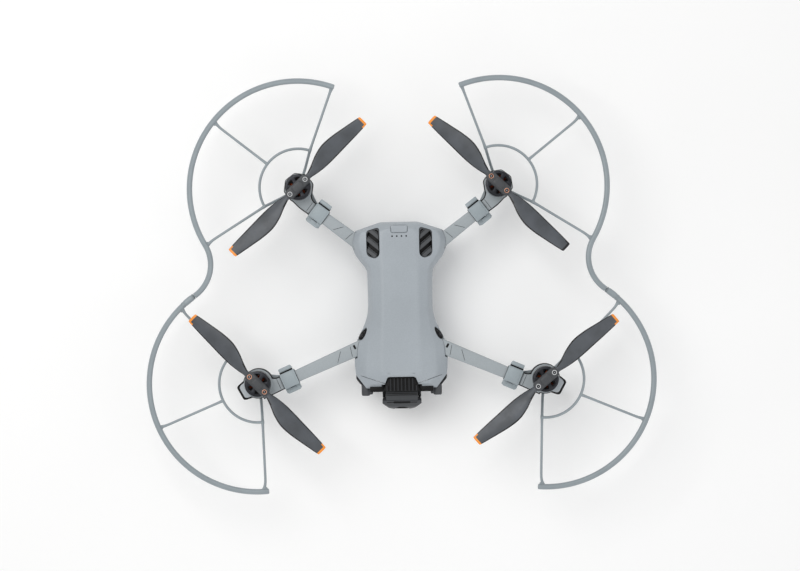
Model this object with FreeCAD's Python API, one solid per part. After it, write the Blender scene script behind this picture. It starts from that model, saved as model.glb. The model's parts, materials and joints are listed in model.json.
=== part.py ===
import FreeCAD, Part
import math
import os

from FreeCAD import Vector

# Folding camera drone with its four propeller guards clipped on.
# Millimetres. +Z up, camera towards -Y, origin on the ground under the centre of the guards' footprint.
# "Left" and "right" are the drone's own: its left is +X.

# ---------------------------------------------------------------- driving dimensions
FRONT_MOTOR = (113.2, -77.0)
REAR_MOTOR = (78.8, 77.0)
FRONT_CLIP = (88.4, -74.2)
REAR_CLIP = (63.0, 56.0)
FRONT_HINGE = (30.6, -49.4)
REAR_HINGE = (32.0, 32.2)

PROP_RADIUS = 74.5
PIVOT_OFFSET = 8.3          # blade screw from the motor's axis
GUARD_RADIUS = 85.0
BEND_RADIUS = 30.0          # reverse bend where the two guards of a side meet
INNER_HOOP_RADIUS = 30.5

BODY_BOTTOM = 10.0
SPLIT_Z = 34.0              # parting plane of the two shells
BODY_TOP = 56.0
WALL = 1.6

ARM_BOTTOM = 35.5
ARM_TOP = 45.0
ARM_WIDTH = 9.4
POD_TOP = 46.0
PIN_RADIUS = 1.5            # hinge pins at the arms' roots
POD_RADIUS = 12.0
GUARD_Z = 50.0              # centre of the guard's rim
HOOP_Z = 49.0               # centre of the inner hoop and spokes

BELL_RADIUS = 10.2
BELL_BOTTOM = 47.6
BELL_TOP = 58.0
BLADE_Z = 60.6              # middle of the blade's root

GIMBAL_YAW_Y = -70.0
GIMBAL_PITCH_Y = -86.0
GIMBAL_Z = 31.0

FINE = 0.1                  # running clearance on a radius

SIDES = {"left": 1, "right": -1}

os.makedirs("parts", exist_ok=True)


# ---------------------------------------------------------------- helpers
def box(x0, x1, y0, y1, z0, z1):
    return Part.makeBox(x1 - x0, y1 - y0, z1 - z0, Vector(x0, y0, z0))


def rod(start, end, radius):
    start, end = Vector(*start), Vector(*end)
    along = end - start
    return Part.makeCylinder(radius, along.Length, start, along)


def ball(centre, radius):
    return Part.makeSphere(radius, Vector(*centre))


def disc(centre, radius, z0, z1):
    return Part.makeCylinder(radius, z1 - z0, Vector(centre[0], centre[1], z0))


def outline(points, z):
    corners = [Vector(x, y, z) for x, y in points]
    return Part.makePolygon(corners + corners[:1])


def prism(points, z0, z1):
    return Part.Face(outline(points, z0)).extrude(Vector(0, 0, z1 - z0))


def loft(levels):
    """A faceted solid through (z, points) levels that have the same number of points."""
    return Part.makeLoft([outline(points, z) for z, points in levels], True, True)


def fuse(shapes):
    return shapes[0].multiFuse(shapes[1:]).removeSplitter()


def mirrored(shape):
    return shape.mirror(Vector(0, 0, 0), Vector(1, 0, 0))


def on_side(shape, side):
    """A shape made for the left, or its mirror image for the right."""
    return shape if SIDES[side] == 1 else mirrored(shape)


def turned(shape, degrees, centre=(0, 0, 0), axis=(0, 0, 1)):
    copy = shape.copy()
    copy.rotate(Vector(*centre), Vector(*axis), degrees)
    return copy


def moved(shape, x=0, y=0, z=0):
    copy = shape.copy()
    copy.translate(Vector(x, y, z))
    return copy


def save(name, *shapes):
    solids = [s for shape in shapes for s in shape.Solids]
    whole = solids[0] if len(solids) == 1 else Part.makeCompound(solids)
    if not whole.isValid():
        print("not valid:", name)
    whole.exportStep(f"parts/{name}.step")
    print(name, len(solids), round(sum(s.Volume for s in solids), 1))


def heading(start, end):
    """Degrees from +X of the direction from one plan point to another."""
    return math.degrees(math.atan2(end[1] - start[1], end[0] - start[0]))


def polar(centre, radius, degrees):
    a = math.radians(degrees)
    return (centre[0] + radius * math.cos(a), centre[1] + radius * math.sin(a))


def both_sides(half):
    """A closed plan outline from the left half's points, given from rear to front."""
    return half + [(-x, y) for x, y in reversed(half)]


def rounded_bar(length, width, z0, z1, radius):
    """A block centred on the Z axis, long in X, with its upright edges rounded."""
    block = box(-length / 2, length / 2, -width / 2, width / 2, z0, z1)
    upright = [e for e in block.Edges if abs(e.Vertexes[0].X - e.Vertexes[-1].X) < 1e-6
               and abs(e.Vertexes[0].Y - e.Vertexes[-1].Y) < 1e-6]
    return block.makeFillet(radius, upright)


# ---------------------------------------------------------------- body shells
# Left half of the plan outline, rear to front, at three heights.
SIDE_LINE = [
    (14.9, 48.7), (35.4, 41.8), (38.4, 33.0), (35.0, 23.0), (25.8, 11.0), (25.3, -21.6),
    (28.3, -31.6), (34.6, -44.0), (36.8, -51.5), (36.6, -66.5), (35.4, -74.6), (28.8, -82.6), (15.5, -82.6),
]
SHOULDER_LINE = [
    (14.4, 47.2), (30.5, 41.0), (33.0, 33.0), (30.5, 23.4), (22.6, 11.4), (21.8, -21.6),
    (22.8, -30.6), (25.2, -42.5), (26.6, -50.5), (28.2, -66.0), (27.4, -72.4), (23.0, -78.8), (14.8, -78.8),
]
TOP_LINE = [
    (11.5, 43.0), (13.4, 39.5), (13.8, 33.0), (14.0, 23.4), (14.2, 11.4), (14.4, -21.6),
    (14.6, -30.6), (15.0, -42.5), (15.2, -50.5), (15.4, -64.0), (15.0, -69.5), (14.0, -72.0), (12.6, -72.0),
]
SHOULDER_Z = 51.0
SIDE_Z = 44.0


def shrunk(half, by):
    """The half outline moved in by a wall's thickness."""
    rear, front = half[0][1], half[-1][1]
    middle = (rear + front) / 2
    span = rear - front
    return [(x - by, middle + (y - middle) * (span - 2 * by) / span) for x, y in half]


def hood_solid(by=0.0, lift=0.0):
    """The upper half of the body as a full solid; by and lift thin it for the inside."""
    levels = [
        (SPLIT_Z - lift, both_sides(shrunk(SIDE_LINE, by))),
        (SIDE_Z, both_sides(shrunk(SIDE_LINE, by))),
        (SHOULDER_Z - by * 0.7, both_sides(shrunk(SHOULDER_LINE, by))),
        (BODY_TOP - by, both_sides(shrunk(TOP_LINE, by * 0.6))),
    ]
    return loft(levels)


def belly_solid(by=0.0):
    """The lower half of the body as a full solid."""
    narrow = [(x * 0.80, 2 + (y - 2) * 0.93) for x, y in SIDE_LINE]
    middle = [(x * 0.93, y * 0.985) for x, y in SIDE_LINE]
    levels = [
        (BODY_BOTTOM + by, both_sides(shrunk(narrow, by))),
        (16.0 + by * 0.4, both_sides(shrunk(middle, by))),
        (SPLIT_Z + by, both_sides(shrunk(SIDE_LINE, by))),
    ]
    return loft(levels)


GIMBAL_BAY = box(-20.8, 20.8, -95, -64.0, 0, 43.6).fuse(box(-15.9, 15.9, -95, -64.0, 40, 49.6))
BATTERY_BAY = box(-21.3, 21.3, -38.5, 60, 15.2, 41.3)
NOSE_BAY = box(20.8, 45, -95, -72.0, 19.8, 36.0)
BOARD_POSTS = [(15.6, -27), (15.6, 2), (9.0, -57.8)]
DAMPERS = [(11.2, -70.0), (11.2, -62.8)]
BOARD_TOP = 45.2
DAMPER_TOP = 53.6
NOTCH = prism([(-17.2, -90), (-15.2, -84.6), (-11.6, -75.6), (-10.2, -74.2), (10.2, -74.2), (11.6, -75.6),
               (15.2, -84.6), (17.2, -90)], 40, 70)


def arm_slot(hinge, clip, width):
    """What is cut from the shells so that an arm's root passes through the shoulder."""
    angle = heading(hinge, clip)
    run = box(-1, 34, -width / 2, width / 2, ARM_BOTTOM - 0.4, ARM_TOP + 0.4)
    knuckle = disc((0, 0), 7.2, ARM_BOTTOM - 0.4, ARM_TOP + 0.4)
    return moved(turned(fuse([run, knuckle]), angle), hinge[0], hinge[1])


VENT_OUTLINE = [(15.6, 42.8), (17.0, 44.2), (24.6, 42.0), (25.9, 40.4), (25.9, 24.0), (24.3, 21.6),
                (19.4, 19.8), (16.4, 21.6), (15.6, 24.0)]
BUTTON_AT = (0.0, 42.8)
BUTTON_SIZE = (13.6, 6.4)
LIGHTS_Y = 37.2
LIGHT_PITCH = 3.7
SENSOR_AT = (29.9, -39.3, 46.3)     # shoulder sensor, on the slope behind the front arm
SENSOR_TILT = 45.0
SENSOR_TURN = 130.0


def shoulder_sensor(radius, depth, proud):
    """An oval window on the left shoulder's slope; long side along the shoulder."""
    disc_shape = Part.makeCylinder(radius, depth + proud, Vector(0, 0, -depth))
    squash = FreeCAD.Matrix()
    squash.scale(1.0, 0.5, 1.0)
    oval = disc_shape.transformGeometry(squash)
    oval = turned(oval, SENSOR_TILT, axis=(1, 0, 0))
    oval = turned(oval, SENSOR_TURN)
    return moved(oval, *SENSOR_AT)


def inside_posts():
    """Posts of the left half: over the arm pins, on the board's screws and over the gimbal's dampers."""
    posts = [disc(at, 3.4, ARM_TOP + 0.3, 60) for at in (FRONT_HINGE, REAR_HINGE)]
    posts += [disc(at, 2.2, BOARD_TOP, 60) for at in BOARD_POSTS]
    posts += [disc(at, 2.0, DAMPER_TOP, 60) for at in DAMPERS]
    return posts


def upper_shell():
    hollow = hood_solid(WALL, 1.0)
    inside = hood_solid(WALL / 2, 1.0)
    posts = [on_side(post, side).common(inside) for side in SIDES for post in inside_posts()]
    shell = fuse([hood_solid().cut(hollow)] + posts)
    cutters = [GIMBAL_BAY, NOTCH, BATTERY_BAY]
    for side in SIDES:
        cutters.append(on_side(NOSE_BAY, side))
        cutters.append(on_side(front_sensor(0.2), side))
        cutters += [on_side(disc(at, PIN_RADIUS + 0.02, 30, ARM_TOP + 1.3), side) for at in (FRONT_HINGE, REAR_HINGE)]
        cutters.append(on_side(arm_slot(FRONT_HINGE, FRONT_CLIP, 13.0), side))
        cutters.append(on_side(arm_slot(REAR_HINGE, REAR_CLIP, 12.4), side))
        cutters.append(on_side(prism(VENT_OUTLINE, 40, 60), side))
        cutters.append(on_side(shoulder_sensor(5.6, 4, 6), side))
    button = rounded_bar(BUTTON_SIZE[0], BUTTON_SIZE[1], 50, 60, 1.6)
    cutters.append(moved(button, *BUTTON_AT))
    for i in range(4):
        cutters.append(disc(((i - 1.5) * LIGHT_PITCH, LIGHTS_Y), 0.6, 50, 60))
    return shell.cut(cutters)


def lower_shell():
    shell = belly_solid().cut(belly_solid(WALL))
    pin_space = fuse([belly_solid(WALL / 2), hood_solid(WALL / 2, 1.0)])
    skids = []
    for side in SIDES:
        foot = loft([(2.0, [(14, 24), (14, 42), (20, 42), (20, 24)]),
                     (12.5, [(12, 18), (12, 46), (24, 45), (24, 18)])])
        skids.append(on_side(foot.cut(belly_solid(WALL)), side))
        for at in (FRONT_HINGE, REAR_HINGE):
            skids.append(on_side(disc(at, 3.4, 18, ARM_BOTTOM - 0.3).common(pin_space), side))
    shell = fuse([shell] + skids)
    cutters = [GIMBAL_BAY, box(-21.3, 21.3, 40, 60, 15.2, 41.3)]
    for side in SIDES:
        cutters.append(on_side(NOSE_BAY, side))
        cutters += [on_side(disc(at, PIN_RADIUS + 0.02, ARM_BOTTOM - 6, 40), side) for at in (FRONT_HINGE, REAR_HINGE)]
        cutters.append(on_side(disc((10, -30), 4.2, 5, 20), side))
        for i in range(5):
            y = -2.0 + 4.5 * i
            cutters.append(on_side(box(4, 14, y, y + 1.8, 5, 20), side))
    cutters.append(disc((0, -44), 3.4, 5, 20))
    return shell.cut(cutters)


def vent_louvres():
    """Slanted blades in a rim that fills one rear vent."""
    outer = prism([(20.75 + (x - 20.75) * 0.94, 31.9 + (y - 31.9) * 0.965) for x, y in VENT_OUTLINE], 41, 52)
    inner = prism([(20.75 + (x - 20.75) * 0.72, 31.9 + (y - 31.9) * 0.86) for x, y in VENT_OUTLINE], 40, 60)
    roof = hood_solid(0.9, 1.0)
    rim = outer.cut(inner).common(roof).cut(hood_solid(3.6, 5.0))
    slats = []
    for i in range(4):
        slat = box(-9, 9, -2.1, 2.1, -0.6, 0.6)
        slat = turned(turned(slat, 28, axis=(1, 0, 0)), 38)
        slats.append(moved(turned(slat, 15, axis=(0, 1, 0)), 20.75, 22.5 + 6.3 * i, 51.6))
    block = outer.common(roof)
    louvres = fuse(slats).common(block)
    return fuse([rim, louvres])


def nose_panel():
    """Dark corner cap beside the gimbal, with the bar that closes the hood's front edge."""
    outer = [(21.0, -72.3), (21.0, -83.4), (29.2, -83.4), (36.0, -75.4), (36.0, -72.3)]
    inner = [(22.6, -66.0), (22.6, -81.8), (28.6, -81.8), (34.4, -74.8), (34.4, -66.0)]
    cap = prism(outer, 20.0, 35.7).cut(prism(inner, 21.6, 34.3))
    bar = box(15.6, 22.6, -85.4, -83.6, 44.6, 47.0)
    link = box(21.0, 22.6, -85.4, -83.0, 33.0, 47.0)
    return fuse([cap, bar, link])


SENSOR_X, SENSOR_Z = 28.4, 40.0


def front_sensor(grow=0.0):
    """Stereo camera barrel in the hood's front slope; grow gives the hole it needs."""
    barrel = rod((SENSOR_X, -79.0, SENSOR_Z), (SENSOR_X, -88.4, SENSOR_Z), 3.4 + grow)
    small = rod((SENSOR_X - 3.6, -79.0, SENSOR_Z), (SENSOR_X - 3.6, -87.4, SENSOR_Z), 1.9 + grow)
    saddle = box(SENSOR_X - 4.4 - grow, SENSOR_X + 1, -84.2, -79.0, SENSOR_Z - 1.8 - grow, SENSOR_Z + 1.6 + grow)
    whole = fuse([barrel, small, saddle])
    if grow:
        return whole
    return whole.cut(rod((SENSOR_X, -87.5, SENSOR_Z), (SENSOR_X, -90, SENSOR_Z), 2.4))


def front_lens():
    return rod((SENSOR_X, -87.5, SENSOR_Z), (SENSOR_X, -88.2, SENSOR_Z), 2.3)


def status_light(i):
    return disc(((i - 1.5) * LIGHT_PITCH, LIGHTS_Y), 0.5, 54.4, BODY_TOP - 0.05)


def power_button():
    cap = rounded_bar(BUTTON_SIZE[0] - 0.5, BUTTON_SIZE[1] - 0.5, 52.6, BODY_TOP - 0.7, 1.4)
    stem = box(-2, 2, -1.5, 1.5, 50.6, 52.8)
    roof = moved(hood_solid(0.0, 1.0), z=-0.15)
    cap = moved(cap, *BUTTON_AT).common(roof)
    return fuse([cap, moved(stem, *BUTTON_AT)])


# ---------------------------------------------------------------- inside the body
def main_board():
    board = fuse([box(-18, 18, -61.5, 34, 44.0, BOARD_TOP), box(-9, 9, 34, 46, 44.0, BOARD_TOP)])
    parts = [box(-9, 3, -40, -28, 45, 47.4), box(5, 13, -38, -31, 45, 46.8), box(-12, 12, -22, -4, 45, 48.6),
             box(-17.5, -11.8, 22, 30, 45, 47.0), box(-8, 6, -56, -44, 45, 49.4)]
    fins = [box(-12 + 3 * i, -10.8 + 3 * i, -22, -4, 48.5, 51.4) for i in range(8)]
    switch = box(-2.8, 2.8, BUTTON_AT[1] - 2.6, BUTTON_AT[1] + 2.6, 45, 49.6)
    return fuse([board, switch] + parts + fins)


def cooling_fan():
    """Centrifugal fan and its frame, over the battery between the rear vents."""
    frame = box(-11, 11, 5, 27, BOARD_TOP, 52.0).cut(disc((0, 16), 9.6, 46.6, 60))
    hub = disc((0, 16), 3.4, 46.6, 51.4)
    vanes = []
    for i in range(11):
        vane = box(3.0, 8.8, -0.35, 0.35, 46.6, 51.0)
        vanes.append(moved(turned(vane, i * 360 / 11), 0, 16))
    return fuse([frame, hub] + vanes)


LATCH_PRESS = 2.1


def battery_pack():
    """Slides out of the rear; its end wall closes the body."""
    case = box(-20.8, 20.8, -37.5, 44.0, 15.7, 40.8)
    end = prism([(-20.8, 43.5), (-20.8, 46.8), (-15.0, 48.7), (15.0, 48.7), (20.8, 46.8), (20.8, 43.5)], 15.7, 40.8)
    contact = box(-8, 8, -40, -36.5, 22, 26)
    finger = box(-9, 9, 46.4, 50, 33.5, 38.5)
    pack = fuse([case, end]).cut([contact, finger])
    for side in SIDES:
        hook_pocket = box(13.0, 25, 41.7, 44.5, 24.7, 31.3)
        slot = box(13.0, 18.6, 44.0, 52, 25.2, 30.8)
        pack = pack.cut([on_side(hook_pocket, side), on_side(slot, side)])
    return pack


def battery_latch():
    """Left release catch: the ribbed tab on the rear wall presses inwards."""
    hook = box(15.5, 21.1, 42.0, 44.2, 25.0, 31.0)
    tab = box(15.5, 18.2, 44.0, 48.0, 25.5, 30.5)
    grips = [box(18.0, 18.5, 47.0, 48.0, 26.0 + 1.3 * i, 26.6 + 1.3 * i) for i in range(4)]
    return fuse([hook, tab] + grips)


# ---------------------------------------------------------------- arms and legs
def tapered_bar(start, end, width_start, width_end):
    """Four plan corners of a straight bar that tapers."""
    angle = heading(start, end)
    return [polar(start, width_start / 2, angle + 90), polar(end, width_end / 2, angle + 90),
            polar(end, width_end / 2, angle - 90), polar(start, width_start / 2, angle - 90)]


def softened(shape, radius):
    """Rounds the long upper and lower edges of a straight bar."""
    level = [e for e in shape.Edges if abs(e.Vertexes[0].Z - e.Vertexes[-1].Z) < 1e-6 and e.Length > 12]
    return shape.makeFillet(radius, level)


def arm(hinge, clip, motor, root_width, pod_sides, leg_at=None):
    reach = heading(hinge, clip)
    bar_end = polar(clip, 7.6, reach)
    bar = softened(prism(tapered_bar(hinge, bar_end, root_width, ARM_WIDTH - 0.4), ARM_BOTTOM, ARM_TOP), 1.3)
    knuckle = disc(hinge, 6.2, ARM_BOTTOM, ARM_TOP)
    neck_start = polar(clip, 6.9, reach)
    neck = loft([(ARM_BOTTOM, tapered_bar(neck_start, motor, ARM_WIDTH - 1.5, 13)),
                 (ARM_TOP - 1, tapered_bar(neck_start, motor, ARM_WIDTH, 15)),
                 (ARM_TOP, tapered_bar(neck_start, motor, ARM_WIDTH - 1.4, 13.6))])
    step = 360 / pod_sides
    ring = [polar(motor, POD_RADIUS, heading(clip, motor) + step * (i + 0.5)) for i in range(pod_sides)]
    low = [polar(motor, POD_RADIUS - 2, heading(clip, motor) + step * (i + 0.5)) for i in range(pod_sides)]
    pod = loft([(ARM_BOTTOM, low), (ARM_BOTTOM + 3, ring), (POD_TOP - 0.8, ring),
                (POD_TOP, [polar(motor, POD_RADIUS - 0.8, heading(motor, p)) for p in ring])])
    pieces = [bar, knuckle, neck, pod]
    if leg_at:
        away = heading(motor, leg_at)
        tip = polar(motor, 16.6, away)
        shelf = loft([(ARM_BOTTOM, tapered_bar(motor, polar(motor, 15.8, away), 17, 10.4)),
                      (POD_TOP - 3, tapered_bar(motor, tip, 19, 11.6)),
                      (POD_TOP - 2, tapered_bar(motor, polar(motor, 15.2, away), 18, 10.6))])
        pieces.append(shelf)
    body = fuse(pieces)
    wells = [disc(hinge, PIN_RADIUS + FINE, 0, 60), disc(motor, 8.7, POD_TOP - 2.0, 60)]
    return body.cut(wells)


def hinge_pin(hinge):
    return disc(hinge, PIN_RADIUS, ARM_BOTTOM - 6, ARM_TOP + 1.2)


LEG_AT = polar(FRONT_MOTOR, 13.2, -29)


def front_leg():
    """Antenna leg under the end of the front arm."""
    away = heading(FRONT_MOTOR, LEG_AT)
    levels = []
    for z, long, wide in ((2.0, 6.0, 3.0), (12.0, 6.4, 3.4), (28.0, 8.0, 4.4), (ARM_BOTTOM, 9.4, 5.2)):
        half = [(-wide / 2, -long / 2 + 1), (-wide / 2, long / 2 - 1), (-wide / 2 + 1, long / 2),
                (wide / 2 - 1, long / 2), (wide / 2, long / 2 - 1), (wide / 2, -long / 2 + 1),
                (wide / 2 - 1, -long / 2), (-wide / 2 + 1, -long / 2)]
        levels.append((z, half))
    return moved(turned(loft(levels), away), *LEG_AT)


def leg_pad():
    away = heading(FRONT_MOTOR, LEG_AT)
    pad = rounded_bar(4.4, 7.4, 0.0, 2.0, 1.5)
    return moved(turned(pad, away), *LEG_AT)


def skid_pad():
    return moved(rounded_bar(5.6, 17.0, 0.0, 2.0, 2.0), 17.0, 33.0)


# ---------------------------------------------------------------- guards
def rim_profile(centre, radius, angle, wide, tall, z):
    """An oval face across a rim, standing at an angle on a circle."""
    at = polar(centre, radius, angle)
    oval = Part.Ellipse(Vector(0, 0, 0), tall, wide).toShape()
    face = Part.Face(Part.Wire([oval]))
    face.rotate(Vector(0, 0, 0), Vector(0, 1, 0), -90)
    face.rotate(Vector(0, 0, 0), Vector(0, 0, 1), 90)
    face.rotate(Vector(0, 0, 0), Vector(0, 0, 1), angle)
    face.translate(Vector(at[0], at[1], z))
    return face


def rim(centre, radius, start, sweep, wide=2.2, tall=2.7, z=GUARD_Z):
    """An oval tube along a circular arc."""
    face = rim_profile(centre, radius, start, wide, tall, z)
    return face.revolve(Vector(centre[0], centre[1], z), Vector(0, 0, 1), sweep)


FRONT_RING = (FRONT_MOTOR[0] + 0.4, FRONT_MOTOR[1])             # centres of the outer rims
REAR_RING = (REAR_MOTOR[0] + 0.6, REAR_MOTOR[1] - 1.3)


def bend_centre():
    """Centre of the reverse bend that touches both guard circles from outside."""
    dx, dy = FRONT_RING[0] - REAR_RING[0], FRONT_RING[1] - REAR_RING[1]
    gap = math.hypot(dx, dy)
    out = math.sqrt((GUARD_RADIUS + BEND_RADIUS) ** 2 - (gap / 2) ** 2)
    return ((FRONT_RING[0] + REAR_RING[0]) / 2 - dy / gap * out,
            (FRONT_RING[1] + REAR_RING[1]) / 2 + dx / gap * out)


BEND_AT = bend_centre()
SLEEVE_SWEEP = 8.0
PLUG_SWEEP = 6.0
REAR_SPOKES = (-28.5, 38.0, 108.5)       # headings at the inner hoop: side, middle, side
REAR_SPOKE_ENDS = (-30.2, 39.2, 109.6)   # headings at the rim, from the rim's own centre
FRONT_SPOKES = (-96.0, -25.0, 44.0)
FRONT_SPOKE_ENDS = (-93.6, -23.6, 45.0)


def spokes(motor, ring, headings, ends):
    """Middle spoke, two side spokes that drop under the pod, and the inner hoop."""
    parts = []
    first, middle, last = headings
    for way, end in zip(headings, ends):
        far = (*polar(ring, GUARD_RADIUS, end), HOOP_Z + 0.6)
        near = (*polar(motor, INNER_HOOP_RADIUS, way), HOOP_Z)
        parts.append(rod(far, near, 1.15))
        if way != middle:
            low = (*polar(motor, 17.0, way), 35.5)
            foot = (*polar(motor, 8.0, way), 34.2)
            parts += [rod(near, low, 1.15), rod(low, foot, 1.0), ball(near, 1.5), ball(low, 1.4)]
    hoop = rim(motor, INNER_HOOP_RADIUS, first + 0.4, last - first - 0.8, 1.05, 1.25, HOOP_Z)
    return parts + [hoop]


CRADLE_LENGTH = 12.4
CRADLE_TOP = 40.0
PIN_OUT = 8.1               # strap pin from the arm's centre line
PIN_Z = 39.6


def cradle(clip, motor, reach):
    """Tray under the arm's end: plate to the pod, two low walls, and the pin's knuckle."""
    plate = prism(tapered_bar(polar(clip, -CRADLE_LENGTH / 2, reach), motor, 11.4, 13.0), 33.2, ARM_BOTTOM)
    half = CRADLE_LENGTH / 2
    walls = [box(-half, half, 4.9, 6.0, 33.2, CRADLE_TOP), box(-half, half, -6.0, -4.9, 33.2, CRADLE_TOP)]
    knuckle = rod((-2.2, -PIN_OUT, PIN_Z), (2.2, -PIN_OUT, PIN_Z), 1.7)
    bracket = box(-2.2, 2.2, -PIN_OUT, -5.0, PIN_Z - 3.4, PIN_Z)
    local = fuse(walls + [box(-half, half, -6.0, 6.0, 33.2, ARM_BOTTOM), knuckle, bracket])
    local = local.cut(rod((-10, -PIN_OUT, PIN_Z), (10, -PIN_OUT, PIN_Z), 0.7))
    base = disc(motor, 9.6, 33.2, ARM_BOTTOM)
    return fuse([plate, base, moved(turned(local, reach), clip[0], clip[1])])


def strap():
    """Closed over the arm at the origin, long in X; hinge at -Y, latch lever at +Y."""
    half = CRADLE_LENGTH / 2
    roof = box(-half, half, -6.0, 6.5, ARM_TOP + 0.4, ARM_TOP + 1.8)
    near = box(-half, half, -6.0, -4.9, CRADLE_TOP + 0.3, ARM_TOP + 1.0)
    far = box(-half, half, 5.65, 6.5, CRADLE_TOP + 0.5, ARM_TOP + 1.0)
    shell = fuse([roof, near, far])
    knuckles = []
    for x0, x1 in ((-half, -2.5), (2.5, half)):
        knuckles.append(rod((x0, -PIN_OUT, PIN_Z), (x1, -PIN_OUT, PIN_Z), 1.7))
        knuckles.append(box(x0, x1, -PIN_OUT, -4.9, PIN_Z + 0.8, PIN_Z + 3.4).cut(
            box(x0 - 1, x1 + 1, -6.4, 0, 30, CRADLE_TOP + 0.3)))
    grip = box(-half + 0.6, half - 0.6, -PIN_OUT - 2.4, -PIN_OUT - 1.4, PIN_Z + 1.4, PIN_Z + 2.8)
    ribs = [box(x0, x1, -PIN_OUT - 1.8, -5.4, PIN_Z + 1.4, PIN_Z + 2.6)
            for x0, x1 in ((-half + 0.6, -2.5), (2.5, half - 0.6))]
    lever = box(-5.4, 5.4, 7.6, 9.2, 36.8, ARM_TOP + 1.2)
    bridge = box(-4.4, 4.4, 6.2, 7.8, 41.2, 42.6)
    lip = box(-5.4, 5.4, 9.0, 10.9, ARM_TOP - 0.4, ARM_TOP + 1.2)
    whole = fuse([shell, grip, lever, bridge, lip] + knuckles + ribs)
    return whole.cut([rod((-12, -PIN_OUT, PIN_Z), (12, -PIN_OUT, PIN_Z), 0.7)])


def strap_pin():
    half = CRADLE_LENGTH / 2
    return rod((-half + 0.2, -PIN_OUT, PIN_Z), (half - 0.2, -PIN_OUT, PIN_Z), 0.6)


def at_clip(shape, hinge, clip):
    return moved(turned(shape, heading(hinge, clip)), clip[0], clip[1])


RIM_STUB = 1.2              # degrees of rim past the last spoke


def rear_guard():
    bend_start = heading(BEND_AT, REAR_RING) % 360
    bend_end = heading(BEND_AT, FRONT_RING) % 360
    low = heading(REAR_RING, BEND_AT)
    hoop = rim(REAR_RING, GUARD_RADIUS, low, REAR_SPOKE_ENDS[2] + RIM_STUB - low)
    bend = rim(BEND_AT, BEND_RADIUS, bend_start, bend_end - bend_start)
    socket = heading(FRONT_RING, BEND_AT)
    plug = rim(FRONT_RING, GUARD_RADIUS, socket, -PLUG_SWEEP, 1.4, 1.9)
    frame = [hoop, bend, plug] + spokes(REAR_MOTOR, REAR_RING, REAR_SPOKES, REAR_SPOKE_ENDS)
    return fuse(frame + [cradle(REAR_CLIP, REAR_MOTOR, heading(REAR_HINGE, REAR_CLIP))])


def front_guard():
    socket = heading(FRONT_RING, BEND_AT)
    low = FRONT_SPOKE_ENDS[0] - RIM_STUB - 0.5
    hoop = rim(FRONT_RING, GUARD_RADIUS, low, socket - 0.3 - low)
    sleeve = rim(FRONT_RING, GUARD_RADIUS, socket - 0.3 - SLEEVE_SWEEP, SLEEVE_SWEEP, 2.6, 3.1)
    bore = rim(FRONT_RING, GUARD_RADIUS, socket - 0.4 - PLUG_SWEEP, PLUG_SWEEP + 2, 1.5, 2.0)
    frame = [hoop, sleeve] + spokes(FRONT_MOTOR, FRONT_RING, FRONT_SPOKES, FRONT_SPOKE_ENDS)
    frame.append(cradle(FRONT_CLIP, FRONT_MOTOR, heading(FRONT_HINGE, FRONT_CLIP)))
    return fuse(frame).cut(bore)


# ---------------------------------------------------------------- motors and propellers
STATOR_TEETH = 9
BELL_WINDOWS = 6


def stator(motor):
    """Base, bearing tube and wound teeth; stays on the arm."""
    base = disc((0, 0), 8.6, POD_TOP - 2.0, POD_TOP + 0.8)
    tube = disc((0, 0), 3.0, POD_TOP, BELL_TOP - 2.2)
    teeth = []
    for i in range(STATOR_TEETH):
        turn = i * 360 / STATOR_TEETH
        stem = box(2.4, 7.6, -0.8, 0.8, 49.4, 54.4)
        coil = box(3.8, 7.0, -1.25, 1.25, 49.0, 54.8)
        shoe = box(7.4, 8.1, -2.1, 2.1, 49.4, 54.4)
        teeth += [turned(t, turn) for t in (stem, coil, shoe)]
    whole = fuse([base, tube] + teeth).cut(disc((0, 0), 1.6, POD_TOP - 5, 70))
    return moved(whole, *motor)


def bell(motor):
    """Outer rotor: windowed top, wall and shaft."""
    can = disc((0, 0), BELL_RADIUS, BELL_BOTTOM, BELL_TOP)
    can = can.cut(disc((0, 0), BELL_RADIUS - 1.5, BELL_BOTTOM - 1, BELL_TOP - 1.4))
    rims = [e for e in can.Edges if abs(e.BoundBox.ZMax - BELL_TOP) < 1e-6 and e.BoundBox.XLength > 18]
    can = can.makeFillet(0.8, rims)
    windows = []
    for i in range(BELL_WINDOWS):
        gap = disc((0, 0), 8.2, 50, 70).cut(disc((0, 0), 4.0, 50, 70))
        wedge = prism([(0, 0), polar((0, 0), 14, -20), polar((0, 0), 14, 20)], 50, 70)
        windows.append(turned(gap.common(wedge), (i + 0.5) * 360 / BELL_WINDOWS))
    shaft = disc((0, 0), 1.5, POD_TOP - 1.0, BELL_TOP)
    return moved(fuse([can.cut(windows), shaft]), *motor)


def hub(motor, turn):
    """Two plates with a web; the blades' eyes sit between the plates."""
    z0 = BELL_TOP
    lower = rounded_bar(2 * PIVOT_OFFSET + 6.4, 8.4, z0, BLADE_Z - 1.35, 3.6)
    upper = rounded_bar(2 * PIVOT_OFFSET + 6.0, 7.6, BLADE_Z + 1.35, BLADE_Z + 2.1, 3.4)
    web = rounded_bar(8.4, 7.0, z0, BLADE_Z + 2.1, 1.2)
    dome = Part.makeSphere(14.0, Vector(0, 0, BLADE_Z + 3.0 - 14.0))
    dome = dome.common(rounded_bar(9.6, 6.4, BLADE_Z + 2.0, BLADE_Z + 4.0, 1.6))
    body = fuse([lower, upper, web, dome])
    holes = [disc((s * PIVOT_OFFSET, 0), 1.0, 50, 70) for s in (-1, 1)]
    return moved(turned(body.cut(holes), turn), *motor)


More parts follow.
